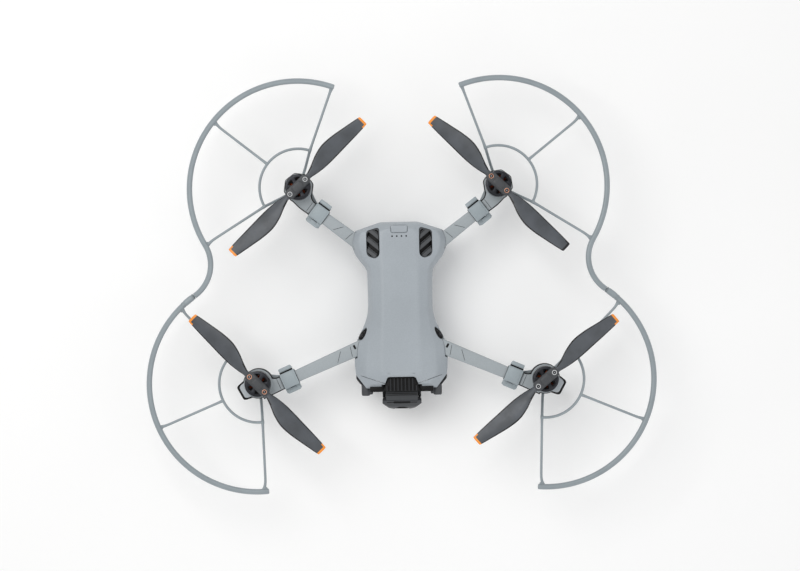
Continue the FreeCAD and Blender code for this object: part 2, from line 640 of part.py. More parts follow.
def screws(motor, turn):
    """The two blade screws of a propeller."""
    made = []
    for s in (-1, 1):
        shank = disc((s * PIVOT_OFFSET, 0), 1.0, BELL_TOP + 0.1, BLADE_Z + 2.2)
        head = disc((s * PIVOT_OFFSET, 0), 1.75, BLADE_Z + 2.1, BLADE_Z + 2.9)
        top = [e for e in head.Edges if abs(e.BoundBox.ZMin - BLADE_Z - 2.9) < 1e-6]
        head = head.makeFillet(0.25, top)
        socket = prism([polar((s * PIVOT_OFFSET, 0), 0.8, 60 * i) for i in range(6)], BLADE_Z + 2.3, 70)
        made.append(moved(turned(fuse([shank, head]).cut(socket), turn), *motor))
    return made


# Blade sections: radius, leading half-chord, trailing half-chord, pitch in degrees, thickness.
BLADE_SECTIONS = [
    (13.0, 2.5, 2.4, 18.0, 1.9), (19.0, 4.8, 3.7, 21.0, 1.7), (27.0, 8.2, 4.6, 19.0, 1.5),
    (36.0, 10.2, 4.7, 16.0, 1.3), (46.0, 9.7, 4.4, 13.0, 1.1), (57.0, 7.8, 4.1, 10.5, 0.95),
    (67.0, 5.9, 3.7, 9.0, 0.85), (73.2, 4.6, 3.3, 8.0, 0.8),
]


def blade_section(radius, lead, trail, pitch, thick, hand):
    """Closed smooth wing section across the blade, facing along X."""
    lower = [(lead, 0.0), (lead * 0.4, -thick * 0.30), (-trail * 0.5, -thick * 0.25), (-trail, 0.0)]
    upper = [(-trail * 0.5, thick * 0.55), (lead * 0.35, thick * 0.75), (lead * 0.85, thick * 0.5)]
    points = []
    for y, z in lower + upper:
        a = math.radians(pitch)
        points.append(Vector(radius, hand * (y * math.cos(a) - z * math.sin(a)), z * math.cos(a) + y * math.sin(a)))
    curve = Part.BSplineCurve()
    curve.interpolate(points, PeriodicFlag=True)
    return Part.Wire([curve.toShape()])


def blade(motor, turn, hand):
    """One blade with its eye on the screw; hand is +1 when its round edge is on the anticlockwise side."""
    wings = [blade_section(*s, hand) for s in BLADE_SECTIONS]
    wing = Part.makeLoft(wings, True, False)
    eye = disc((PIVOT_OFFSET, 0), 3.2, -1.25, 1.25)
    neck = loft_across(PIVOT_OFFSET + 0.5, 14.5, hand)
    whole = fuse([eye, neck, wing]).cut(disc((PIVOT_OFFSET, 0), 1.1, -5, 5))
    return moved(turned(whole, turn), motor[0], motor[1], BLADE_Z)


def loft_across(x0, x1, hand):
    """Root of the blade between the eye and the first wing section."""
    def frame(x, half, z0, z1, tilt):
        rise = math.tan(math.radians(tilt)) * half * hand
        return Part.makePolygon([Vector(x, -half, z0 - rise), Vector(x, half, z0 + rise),
                                 Vector(x, half, z1 + rise), Vector(x, -half, z1 - rise), Vector(x, -half, z0 - rise)])
    return Part.makeLoft([frame(x0, 2.6, -1.2, 1.2, 0), frame(x1, 2.3, -0.5, 0.8, 14)], True, True)


ROTORS = {
    "front_left": (FRONT_MOTOR, "left", 40.0, 1),
    "front_right": (FRONT_MOTOR, "right", 133.9, -1),
    "rear_left": (REAR_MOTOR, "left", 136.0, -1),
    "rear_right": (REAR_MOTOR, "right", 43.8, 1),
}


# ---------------------------------------------------------------- gimbal camera
def gimbal_mount():
    """Ribbed cover in the hood's notch with the yaw motor's seat under it; fixed to the body."""
    cover = prism([(-9.9, -74.6), (-11.2, -75.9), (-14.7, -84.8), (14.7, -84.8), (11.2, -75.9), (9.9, -74.6)],
                  50.0, 51.0)
    ribs = [box(-11.6 + 2.9 * i - 0.55, -11.6 + 2.9 * i + 0.55, -84.2, -73.4, 51.0, 52.6) for i in range(9)]
    plate = box(-13.2, 13.2, -74.1, -60.5, 50.0, 51.2)
    motor = disc((0, GIMBAL_YAW_Y), 6.4, 45.7, 50.2)
    fin_area = prism([(-9.7, -74.6), (-10.9, -75.9), (-14.3, -84.6), (14.3, -84.6), (10.9, -75.9), (9.7, -74.6)], 50, 54)
    ribs = [r.common(fin_area) for r in ribs]
    return fuse([cover, plate, motor] + ribs).cut(disc((0, GIMBAL_YAW_Y), 2.0 + FINE / 2, 40, 49))


def gimbal_damper(x, y):
    waist = disc((x, y), 1.2, 51.2, DAMPER_TOP)
    rings = [disc((x, y), 1.9, 51.2, 51.8), disc((x, y), 1.9, DAMPER_TOP - 0.6, DAMPER_TOP)]
    return fuse([waist] + rings)


def yaw_arm():
    """Turns about the upright axis; carries the roll motor behind the camera."""
    cap = disc((0, GIMBAL_YAW_Y), 6.6, 42.4, 45.4)
    post = box(-4.2, 4.2, -69.4, -65.2, GIMBAL_Z - 3, 44.0)
    seat = rod((0, -69.9, GIMBAL_Z), (0, -65.0, GIMBAL_Z), 7.4)
    shaft = disc((0, GIMBAL_YAW_Y), 2.0, 45, 48.6)
    return fuse([cap, post, seat, shaft]).cut(rod((0, -72, GIMBAL_Z), (0, -66.2, GIMBAL_Z), 2.0 + FINE / 2))


def roll_arm():
    """Fork that turns about the fore-and-aft axis and holds both sides of the camera."""
    motor = rod((0, -73.4, GIMBAL_Z), (0, -70.2, GIMBAL_Z), 7.0)
    back = box(-15.3, 15.3, -74.6, -72.4, GIMBAL_Z - 4.4, GIMBAL_Z + 4.4)
    cheeks = []
    for side in (-1, 1):
        x0, x1 = sorted((side * 13.2, side * 15.3))
        cheeks.append(box(x0, x1, GIMBAL_PITCH_Y, -72.4, GIMBAL_Z - 4.4, GIMBAL_Z + 4.4))
        cheeks.append(rod((x0, GIMBAL_PITCH_Y, GIMBAL_Z), (x1, GIMBAL_PITCH_Y, GIMBAL_Z), 4.4))
    shaft = rod((0, -72.0, GIMBAL_Z), (0, -66.6, GIMBAL_Z), 2.0)
    whole = fuse([motor, shaft, back] + cheeks)
    bore = rod((-20, GIMBAL_PITCH_Y, GIMBAL_Z), (20, GIMBAL_PITCH_Y, GIMBAL_Z), 2.1)
    return whole.cut(bore)


def camera_body():
    """Camera housing on its pitch trunnions; the wide front hangs over the fork's ends."""
    drum = rod((-12.8, GIMBAL_PITCH_Y, GIMBAL_Z), (12.8, GIMBAL_PITCH_Y, GIMBAL_Z), 11.0)
    drum = drum.cut(box(-20, 20, -120, GIMBAL_PITCH_Y - 2, 0, 60))
    core = box(-12.8, 12.8, -92.6, GIMBAL_PITCH_Y, GIMBAL_Z - 11, GIMBAL_Z + 11)
    side = [(-91.2, -9.5), (-91.2, 9.5), (-93.0, 11.0), (-97.2, 8.4), (-99.4, 3.0), (-99.4, -8.0), (-97.0, -11.0),
            (-93.0, -11.0)]
    front = Part.Face(Part.makePolygon([Vector(-15.6, y, GIMBAL_Z + z) for y, z in side + side[:1]]))
    front = front.extrude(Vector(31.2, 0, 0))
    trim = prism([(-15.6, -91), (-15.6, -95.0), (-10.8, -98.6), (-7.0, -99.4), (7.0, -99.4), (10.8, -98.6),
                  (15.6, -95.0), (15.6, -91)], 10, 50)
    front = front.common(trim)
    trunnion = rod((-15.1, GIMBAL_PITCH_Y, GIMBAL_Z), (15.1, GIMBAL_PITCH_Y, GIMBAL_Z), 2.0)
    slot = turned(box(-6.6, 6.6, -1.0, 1.0, -1.2, 2), 32, axis=(1, 0, 0))
    slot = moved(slot, 0, -95.0, GIMBAL_Z + 9.8)
    well = rod((0, -99.9, GIMBAL_Z), (0, -96.4, GIMBAL_Z), 6.6)
    return fuse([drum, core, front, trunnion]).cut([slot, well])


def camera_lens():
    barrel = rod((0, -99.1, GIMBAL_Z), (0, -96.5, GIMBAL_Z), 6.4)
    cone = Part.makeCone(5.4, 3.4, 1.4, Vector(0, -99.2, GIMBAL_Z), Vector(0, 1, 0))
    return barrel.cut(cone)


def camera_glass():
    return rod((0, -98.2, GIMBAL_Z), (0, -97.75, GIMBAL_Z), 3.9)


def belly_sensors():
    """Two downward stereo windows and the landing light between them."""
    made = []
    for side in SIDES:
        made.append(on_side(disc((10, -30), 3.9, BODY_BOTTOM + 0.3, BODY_BOTTOM + 3.2), side))
    made.append(disc((0, -44), 3.1, BODY_BOTTOM + 0.3, BODY_BOTTOM + 3.0))
    return made


# ---------------------------------------------------------------- write the parts
def build_body():
    save("upper_shell", upper_shell())
    save("lower_shell", lower_shell())
    save("nose_panel", *[on_side(nose_panel(), s) for s in SIDES])
    save("vent_louvres", *[on_side(vent_louvres(), s) for s in SIDES])
    window = shoulder_sensor(5.2, 1.4, 0.0)
    save("shoulder_sensors", *[on_side(window, s) for s in SIDES])
    save("front_sensors", *[on_side(front_sensor(), s) for s in SIDES])
    save("front_lenses", *[on_side(front_lens(), s) for s in SIDES])
    save("status_lights", *[status_light(i) for i in range(4)])
    save("power_button", power_button())
    save("main_board", main_board())
    save("cooling_fan", cooling_fan())
    save("battery_pack", battery_pack())
    for side in SIDES:
        save(f"battery_latch_{side}", on_side(battery_latch(), side))
    save("belly_sensors", *belly_sensors())


def build_arms_and_guards():
    front = arm(FRONT_HINGE, FRONT_CLIP, FRONT_MOTOR, 11.6, 24, LEG_AT)
    rear = arm(REAR_HINGE, REAR_CLIP, REAR_MOTOR, 11.0, 8)
    front_frame, rear_frame = front_guard(), rear_guard()
    front_strap = at_clip(strap(), FRONT_HINGE, FRONT_CLIP)
    rear_strap = at_clip(strap(), REAR_HINGE, REAR_CLIP)
    for side in SIDES:
        save(f"front_{side}_arm", on_side(front, side))
        save(f"rear_{side}_arm", on_side(rear, side))
        save(f"front_{side}_guard", on_side(front_frame, side))
        save(f"rear_{side}_guard", on_side(rear_frame, side))
        save(f"front_{side}_strap", on_side(front_strap, side))
        save(f"rear_{side}_strap", on_side(rear_strap, side))
    pins = [hinge_pin(FRONT_HINGE), hinge_pin(REAR_HINGE)]
    pins += [at_clip(strap_pin(), FRONT_HINGE, FRONT_CLIP), at_clip(strap_pin(), REAR_HINGE, REAR_CLIP)]
    save("hinge_pins", *[on_side(p, s) for s in SIDES for p in pins])
    save("front_legs", *[on_side(front_leg(), s) for s in SIDES])
    save("foot_pads", *[on_side(p, s) for s in SIDES for p in (leg_pad(), skid_pad())])


def build_rotors():
    for name, (motor, side, turn, hand) in ROTORS.items():
        at = (SIDES[side] * motor[0], motor[1])
        save(f"{name}_stator", stator(at))
        save(f"{name}_bell", bell(at))
        save(f"{name}_hub", hub(at, turn))
        save(f"{name}_screws", *screws(at, turn))
        save(f"{name}_blade_a", blade(at, turn, hand))
        save(f"{name}_blade_b", blade(at, turn + 180, hand))


def build_gimbal():
    save("gimbal_mount", gimbal_mount())
    save("gimbal_dampers", *[on_side(gimbal_damper(*at), s) for s in SIDES for at in DAMPERS])
    save("gimbal_yaw_arm", yaw_arm())
    save("gimbal_roll_arm", roll_arm())
    save("camera_body", camera_body())
    save("camera_lens", camera_lens(), camera_glass())


build_body()
build_arms_and_guards()
build_rotors()
build_gimbal()
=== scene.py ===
import json
import math

import bmesh
import bpy
from mathutils import Matrix, Vector


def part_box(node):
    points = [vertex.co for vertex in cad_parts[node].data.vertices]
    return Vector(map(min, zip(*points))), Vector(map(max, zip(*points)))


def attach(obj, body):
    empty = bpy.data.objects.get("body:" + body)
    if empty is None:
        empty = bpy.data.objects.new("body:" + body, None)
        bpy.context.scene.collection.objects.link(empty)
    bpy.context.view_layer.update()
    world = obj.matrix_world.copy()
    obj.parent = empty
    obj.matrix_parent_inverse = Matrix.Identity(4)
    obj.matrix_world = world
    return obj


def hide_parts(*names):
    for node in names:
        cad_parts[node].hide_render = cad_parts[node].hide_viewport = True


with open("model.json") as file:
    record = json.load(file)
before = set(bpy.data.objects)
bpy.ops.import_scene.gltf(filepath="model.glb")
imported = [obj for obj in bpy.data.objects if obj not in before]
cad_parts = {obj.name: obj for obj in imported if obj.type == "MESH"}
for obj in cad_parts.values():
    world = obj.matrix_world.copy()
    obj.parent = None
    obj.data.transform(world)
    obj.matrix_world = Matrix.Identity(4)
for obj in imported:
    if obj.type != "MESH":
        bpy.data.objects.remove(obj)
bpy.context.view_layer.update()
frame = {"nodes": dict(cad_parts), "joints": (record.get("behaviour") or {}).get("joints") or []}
JOINTS = {j["name"]: j for j in frame["joints"]}

MM = 0.001
SHARP = math.radians(32)


# ------------------------------------------------------------------ numbers read from the frame
def span(node):
    """A node's box in millimetres."""
    low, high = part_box(node)
    return [v / MM for v in low], [v / MM for v in high]


def joint_at(name):
    return [v / MM for v in JOINTS[name]["pos_m"]]


FRONT_MOTOR = joint_at("front_left_spin")[:2]
REAR_MOTOR = joint_at("rear_left_spin")[:2]
BLADE_Z = joint_at("front_left_fold_a")[2]
ARM_LOW = span("front_left_arm")[0][2]
POD_TOP = span("front_left_arm")[1][2]
BELL_TOP = span("front_left_bell")[1][2]
BODY_TOP = span("upper_shell")[1][2]
SPLIT_Z = span("upper_shell")[0][2]
GIMBAL_Z = joint_at("gimbal_pitch")[2]
PITCH_Y = joint_at("gimbal_pitch")[1]
YAW_Y = joint_at("gimbal_yaw")[1]
ARM_TOP = 45.0
GUARD_Z, HOOP_Z = 50.0, 49.0            # middle heights of a guard's rim and of its inner hoop
GUARD_RADIUS, INNER_RADIUS = 85.0, 30.5
BEND_RADIUS = 30.0                      # of the rear rim's turn back towards the front guard
# plan points of the left side's arm hinges and guard clips
HINGES = {"front": (30.6, -49.4), "rear": (32.0, 32.2)}
CLIPS = {"front": (88.4, -74.2), "rear": (63.0, 56.0)}
MOTORS = {"front": FRONT_MOTOR, "rear": REAR_MOTOR}
SIDES = {"left": 1, "right": -1}


# ------------------------------------------------------------------ plane geometry
def heading(a, b):
    return math.degrees(math.atan2(b[1] - a[1], b[0] - a[0]))


def polar(centre, radius, degrees):
    a = math.radians(degrees)
    return (centre[0] + radius * math.cos(a), centre[1] + radius * math.sin(a))


def circle(centre, radius, count, start=0.0):
    return [polar(centre, radius, start + 360 * i / count) for i in range(count)]


def filleted(points, reach, count=4, closed=True):
    """Rounds a polyline's corners, starting each round no further than reach from its corner."""
    n = len(points)
    out = []
    for i, p in enumerate(points):
        if not closed and i in (0, n - 1):
            out.append(p)
            continue
        r = reach[i] if isinstance(reach, (list, tuple)) else reach
        if r <= 0:
            out.append(p)
            continue
        here, before, after = Vector(p), Vector(points[i - 1]), Vector(points[(i + 1) % n])
        a = here + (before - here) * min(0.46, r / max((before - here).length, 1e-6))
        b = here + (after - here) * min(0.46, r / max((after - here).length, 1e-6))
        for k in range(count + 1):
            t = k / count
            out.append(tuple(a * (1 - t) ** 2 + here * 2 * t * (1 - t) + b * t * t))
    return out


def rect(x0, x1, y0, y1):
    return [(x0, y0), (x1, y0), (x1, y1), (x0, y1)]


def rounded_rect(length, width, radius, count=4):
    x, y = length / 2, width / 2
    return filleted(rect(-x, x, -y, y), radius, count)


def grown(points, by):
    """A closed anticlockwise outline moved outwards by a distance."""
    n = len(points)
    out = []
    for i in range(n):
        p, a, b = Vector(points[i]), Vector(points[i - 1]), Vector(points[(i + 1) % n])
        u, v = p - a, b - p
        if u.length < 1e-6:
            u = v
        if v.length < 1e-6:
            v = u
        u, v = u.normalized(), v.normalized()
        nu, nv = Vector((u.y, -u.x)), Vector((v.y, -v.x))
        m = nu + nv
        m = nu if m.length < 1e-3 else m.normalized()
        out.append(tuple(p + m * (by / max(0.5, m.dot(nu)))))
    return out


# ------------------------------------------------------------------ mesh building, in millimetres
def centred(*at):
    return Matrix.Translation(at)


def turned(degrees, axis="Z"):
    return Matrix.Rotation(math.radians(degrees), 4, axis)


def standing(at, degrees):
    """An upright frame at a plan point, turned about its own axis."""
    return centred(*at, 0) @ turned(degrees)


def flipped(side):
    """Mirrors left to right where side is -1."""
    return Matrix.Diagonal((side, 1, 1, 1))


HOME = Matrix.Identity(4)
AXIS_Y = turned(-90, "X")       # local z runs along +Y, local y along -Z
AXIS_X = Matrix(((0, 0, 1, 0), (1, 0, 0, 0), (0, 1, 0, 0), (0, 0, 0, 1)))   # local (x, y, z) is (Y, Z, X)


class Builder:
    """Collects closed shells that become one object."""

    def __init__(self):
        self.verts, self.faces, self.mats = [], [], []
        self.place = HOME

    def add(self, verts, faces, mat=0):
        base = len(self.verts)
        self.verts += [tuple(self.place @ Vector(v)) for v in verts]
        self.faces += [tuple(i + base for i in f) for f in faces]
        self.mats += [mat] * len(faces)

    def loft(self, rings, mat=0, caps=True):
        n = len(rings[0])
        verts = [v for ring in rings for v in ring]
        faces = []
        for k in range(len(rings) - 1):
            for i in range(n):
                j = (i + 1) % n
                faces.append((k * n + i, k * n + j, (k + 1) * n + j, (k + 1) * n + i))
        self.add(verts, faces, mat)
        if caps:
            base = len(self.verts) - len(verts)
            last = (len(rings) - 1) * n
            for cap in (range(n - 1, -1, -1), range(last, last + n)):
                self.faces.append(tuple(base + i for i in cap))
                self.mats.append(mat)

    def slab(self, outline, z0, z1, bevel=0.0, steps=3, mat=0, low_bevel=None):
        """An upright prism of an anticlockwise outline, its rims rounded by bevel."""
        low = bevel if low_bevel is None else low_bevel
        rings = []
        for radius, z, way in ((low, z0, 1), (bevel, z1, -1)):
            ramp = [0.0] if radius <= 0 else [math.radians(90 * k / steps) for k in range(steps + 1)]
            part = []
            for a in ramp:
                inset, rise = (max(radius, 0) * (1 - f(a)) for f in (math.sin, math.cos))
                part.append([(x, y, z + way * rise) for x, y in grown(outline, -inset)])
            rings += part if way == 1 else part[::-1]
        self.loft(rings, mat)

    def bar(self, length, width, z0, z1, radius=0.6, bevel=0.3, mat=0, at=(0, 0), turn=0.0):
        keep = self.place
        self.place = keep @ standing(at, turn)
        self.slab(rounded_rect(length, width, radius), z0, z1, bevel, mat=mat)
        self.place = keep

    def lathe(self, profile, centre=(0, 0), count=48, mat=0):
        """Revolves (radius, z) points about an upright axis; a closed profile gives a ring."""
        rings = []
        for r, z in profile:
            rings.append([(*polar(centre, max(r, 1e-4), 360 * i / count), z) for i in range(count)])
        if profile[0] == profile[-1]:
            self.loft(rings[:-1] + [rings[0]], mat, caps=False)
        else:
            self.loft(rings, mat)

    def sweep(self, path, profile, mat=0, flat=False):
        """Carries a closed profile of (side, up) points along a 3-D path; profile may be one per point."""
        points = [Vector(p) for p in path]
        rings = []
        up = Vector((0, 0, 1))
        for i, p in enumerate(points):
            ahead = points[min(i + 1, len(points) - 1)] - points[max(i - 1, 0)]
            ahead.normalize()
            side = ahead.cross(up)
            if side.length < 1e-4:
                side = Vector((1, 0, 0))
            side.normalize()
            top = up if flat else side.cross(ahead)
            shape = profile[i] if isinstance(profile[0], list) else profile
            rings.append([tuple(p + side * a + top * b) for a, b in shape])
        self.loft(rings, mat)

    def tube(self, path, radii, count=12, mat=0):
        if not isinstance(radii, (list, tuple)):
            radii = [radii] * len(path)
        self.sweep(path, [[polar((0, 0), r, 360 * k / count) for k in range(count)] for r in radii], mat)

    def object(self, name, mats, sharp=SHARP, mirror=False):
        mesh = bpy.data.meshes.new(name)
        flip = -1 if mirror else 1
        mesh.from_pydata([(x * MM * flip, y * MM, z * MM) for x, y, z in self.verts], [], self.faces)
        for i, poly in enumerate(mesh.polygons):
            poly.material_index = self.mats[i]
        bm = bmesh.new()
        bm.from_mesh(mesh)
        bmesh.ops.remove_doubles(bm, verts=bm.verts, dist=1e-7)
        bmesh.ops.dissolve_degenerate(bm, edges=bm.edges, dist=1e-7)
        bmesh.ops.recalc_face_normals(bm, faces=bm.faces)
        bm.to_mesh(mesh)
        bm.free()
        obj = bpy.data.objects.new(name, mesh)
        bpy.context.scene.collection.objects.link(obj)
        for m in mats:
            mesh.materials.append(m)
        soften(obj, sharp)
        return obj


def soften(obj, sharp=SHARP):
    mesh = obj.data
    mesh.polygons.foreach_set("use_smooth", [True] * len(mesh.polygons))
    mesh.set_sharp_from_angle(angle=sharp)
    mesh.update()


def applied(obj):
    """Replaces the mesh by what its modifiers make of it."""
    bpy.context.view_layer.update()
    graph = bpy.context.evaluated_depsgraph_get()
    mesh = bpy.data.meshes.new_from_object(obj.evaluated_get(graph))
    obj.modifiers.clear()
    old, obj.data = obj.data, mesh
    bpy.data.meshes.remove(old)
    return obj


def carve(obj, cutter, operation="DIFFERENCE", own=False, solver="EXACT"):
    """Boolean with a scratch object, which is then removed."""
    mod = obj.modifiers.new("cut", "BOOLEAN")
    mod.object, mod.operation, mod.solver = cutter, operation, solver
    mod.use_self = own
    applied(obj)
    mesh = cutter.data
    bpy.data.objects.remove(cutter)
    bpy.data.meshes.remove(mesh)
    return obj


def scratch(builder, mirror=False):
    return builder.object("scratch", [], mirror=mirror)


def cut(obj, outline, z0, z1, flip=False, solver="EXACT", at=(0, 0)):
    """Takes an upright prism of an outline out of a piece."""
    b = Builder()
    b.place = centred(*at, 0)
    b.slab(outline, z0, z1)
    carve(obj, scratch(b, flip), solver=solver)


def settle(obj, body, nodes=()):
    """Puts a piece on its body and hides the frame parts it stands for."""
    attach(obj, body)
    if nodes:
        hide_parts(*nodes)
    return obj


# ------------------------------------------------------------------ materials
def srgb(r, g, b):
    def line(c):
        c /= 255
        return c / 12.92 if c <= 0.04045 else ((c + 0.055) / 1.055) ** 2.4
    return (line(r), line(g), line(b), 1.0)


class Nodes:
    """Short names for building a node tree."""

    def __init__(self, name):
        self.mat = bpy.data.materials.new(name)
        self.mat.use_nodes = True
        self.tree = self.mat.node_tree
        self.shader = self.tree.nodes["Principled BSDF"]
        self.coords = self.tree.nodes.new("ShaderNodeTexCoord").outputs["Object"]

    def feed(self, socket, value):
        """Links a node's output to a socket, or sets the socket to a plain value."""
        if isinstance(value, bpy.types.NodeSocket):
            self.tree.links.new(value, socket)
        else:
            socket.default_value = value

    def node(self, kind, inputs=None, **props):
        n = self.tree.nodes.new(kind)
        for k, v in props.items():
            setattr(n, k, v)
        for k, v in (inputs or {}).items():
            self.feed(n.inputs[k], v)
        return n

    def noise(self, scale, detail=3.0, rough=0.5, coords=None):
        n = self.node("ShaderNodeTexNoise", {"Vector": coords or self.coords, "Scale": scale,
                                             "Detail": detail, "Roughness": rough})
        return n.outputs["Fac"]

    def remap(self, value, low, high, from_low=0.3, from_high=0.7):
        n = self.node("ShaderNodeMapRange", {"Value": value, "From Min": from_low, "From Max": from_high,
                                             "To Min": low, "To Max": high})
        return n.outputs["Result"]

    def patchy(self, scale, low, high, detail=3.0):
        """Noise spread between two values."""
        return self.remap(self.noise(scale, detail), low, high)

    def stripes(self, scale, distortion, detail):
        inputs = {"Vector": self.coords, "Scale": scale, "Distortion": distortion, "Detail": detail}
        return self.node("ShaderNodeTexWave", inputs, wave_type="BANDS", bands_direction="Z").outputs["Fac"]

    def mix(self, fac, a, b, blend="MIX"):
        return self.node("ShaderNodeMix", {0: fac, 6: a, 7: b}, data_type="RGBA", blend_type=blend).outputs[2]

    def math(self, operation, a, b=0.0):
        return self.node("ShaderNodeMath", {0: a, 1: b}, operation=operation).outputs[0]

    def plug(self, **values):
        """Sets the shader's inputs, each named with _ for a space."""
        for name, value in values.items():
            self.feed(self.shader.inputs[name.replace("_", " ")], value)

    def bump(self, height, distance, strength=1.0, round_edges=0.25):
        inputs = {"Height": height, "Distance": distance * MM, "Strength": strength}
        if round_edges:
            edge = self.node("ShaderNodeBevel", {"Radius": round_edges * MM}, samples=4)
            inputs["Normal"] = edge.outputs["Normal"]
        n = self.node("ShaderNodeBump", inputs)
        self.plug(Normal=n.outputs["Normal"])


def shade(colour, by, lift=0.0):
    """A colour scaled and lifted, kept within range."""
    return tuple(min(1.0, c * by + lift) for c in colour[:3]) + (1,)


def plastic(name, colour, rough=0.45, grain=1600.0, grain_depth=0.02, vary=0.05, wear_and_highlight=0.06, specular=0.5,
            soft=0.25):
    """Moulded or painted surface: slow shade changes, fine grain, uneven gloss, paler edges that are partly
    wear and partly a painted highlight.
    """
    n = Nodes(name)
    base = n.mix(n.patchy(22.0, 0.0, 1.0, 4.0), shade(colour, 1 - vary), shade(colour, 1 + vary))
    speck = n.patchy(grain * 0.7, 0.96, 1.04, 2.0)
    grey = n.node("ShaderNodeCombineColor", {"Red": speck, "Green": speck, "Blue": speck}).outputs["Color"]
    base = n.mix(1.0, base, grey, "MULTIPLY")
    point = n.node("ShaderNodeNewGeometry").outputs["Pointiness"]
    edge = n.math("MULTIPLY", n.remap(point, 0.0, 1.0, 0.52, 0.62), n.patchy(160.0, 0.0, 1.0))
    # paler edges by pointiness: partly edge wear, partly a painted highlight along the edges
    base = n.mix(n.math("MULTIPLY", edge, wear_and_highlight * 4), base, shade(colour, 1.15, 0.03))
    n.plug(Base_Color=base, Roughness=n.patchy(320.0, rough - 0.05, rough + 0.06),
           Specular_IOR_Level=specular)
    n.bump(n.noise(grain, 2.0, 0.6), grain_depth, round_edges=soft)
    return n.mat


def rim_plastic(name, colour):
    """Guard plastic with faint streaks from the mould's flow."""
    n = Nodes(name)
    stretch = n.node("ShaderNodeMapping", {"Vector": n.coords, "Scale": (1.0, 1.0, 6.0)}).outputs["Vector"]
    flow = n.remap(n.noise(60.0, 5.0, 0.6, stretch), 0.0, 1.0)
    n.plug(Base_Color=n.mix(flow, shade(colour, 0.93), shade(colour, 1.06)),
           Roughness=n.patchy(260.0, 0.30, 0.42), Specular_IOR_Level=0.5)
    n.bump(n.noise(900.0, 2.0), 0.02)
    return n.mat


def blade_plastic(name, colour, streak):
    """Satin black propeller plastic, a little glossier along the flow lines."""
    n = Nodes(name)
    n.plug(Base_Color=n.mix(n.patchy(70.0, 0.0, 1.0, 4.0), colour, streak),
           Roughness=n.patchy(420.0, 0.36, 0.50), Specular_IOR_Level=0.45)
    n.bump(n.noise(1500.0, 2.0), 0.012)
    return n.mat


def copper_wire(name):
    """Enamelled copper wound in close turns."""
    n = Nodes(name)
    turns = n.stripes(620.0, 0.8, 1.0)
    n.plug(Base_Color=n.mix(turns, srgb(96, 42, 24), srgb(196, 98, 58)), Metallic=0.9,
           Roughness=n.patchy(900.0, 0.24, 0.38))
    n.bump(turns, 0.08)
    return n.mat


def machined(name, colour, rough=0.28):
    """Turned or anodised metal with fine tool marks."""
    n = Nodes(name)
    n.plug(Base_Color=n.mix(n.patchy(120.0, 0.0, 1.0), shade(colour, 0.85), shade(colour, 1.12)),
           Metallic=0.95, Roughness=n.patchy(500.0, rough - 0.06, rough + 0.08))
    n.bump(n.stripes(1400.0, 3.0, 2.0), 0.01)
    return n.mat


def lens_glass(name, tint, coat_tint):
    """Dark coated glass with a faint coloured bloom."""
    n = Nodes(name)
    bloom = n.node("ShaderNodeLayerWeight", {"Blend": 0.35}).outputs["Facing"]
    n.plug(Base_Color=n.mix(bloom, tint, coat_tint), Roughness=n.patchy(300.0, 0.03, 0.07),
           Coat_Weight=0.25, Coat_Roughness=0.03, Specular_IOR_Level=0.35)
    n.bump(n.noise(200.0), 0.002, round_edges=0)
    return n.mat


def circuit(name):
    """Green board with paler tracks."""
    n = Nodes(name)
    cells = n.node("ShaderNodeTexVoronoi", {"Vector": n.coords, "Scale": 420.0}, distance="MANHATTAN",
                   feature="DISTANCE_TO_EDGE").outputs["Distance"]
    track = n.remap(cells, 1.0, 0.0, 0.02, 0.08)
    n.plug(Base_Color=n.mix(track, srgb(18, 52, 34), srgb(60, 104, 64)), Roughness=n.patchy(400.0, 0.3, 0.45))
    n.bump(track, 0.02)
    return n.mat


SHELL = plastic("shell_grey", srgb(157, 164, 170), rough=0.42, grain=1500.0, grain_depth=0.018, soft=0.6)
ARM = plastic("arm_grey", srgb(153, 160, 164), rough=0.44, grain=1500.0, grain_depth=0.02, soft=0.5)
GUARD = rim_plastic("guard_grey", srgb(141, 150, 155))
CAMERA_GREY = plastic("camera_grey", srgb(52, 54, 58), rough=0.36, wear_and_highlight=0.12, specular=0.45)
VENT_GREY = plastic("vent_grey", srgb(74, 76, 79), rough=0.5, wear_and_highlight=0.05, specular=0.3)
LEDGE = plastic("ledge_grey", srgb(176, 182, 187), rough=0.4, grain=1300.0)
STRAP = plastic("strap_grey", srgb(148, 158, 163), rough=0.40, grain=1100.0, grain_depth=0.02)
DARK = plastic("dark_plastic", srgb(36, 37, 40), rough=0.5, wear_and_highlight=0.03, specular=0.3)
MID_DARK = plastic("mid_dark_plastic", srgb(64, 66, 69), rough=0.45, wear_and_highlight=0.05, specular=0.4)
BLACK = plastic("black_plastic", srgb(9, 9, 10), rough=0.5, wear_and_highlight=0.02, specular=0.22)
WINDOW = plastic("gloss_window", srgb(9, 9, 12), rough=0.3, grain=700.0, grain_depth=0.002, wear_and_highlight=0.0,
                 specular=0.2)
RUBBER = plastic("soft_rubber", srgb(36, 36, 38), rough=0.72, grain=900.0, grain_depth=0.05, wear_and_highlight=0.04)
BLADE = blade_plastic("blade_plastic", srgb(66, 69, 73), srgb(82, 86, 92))
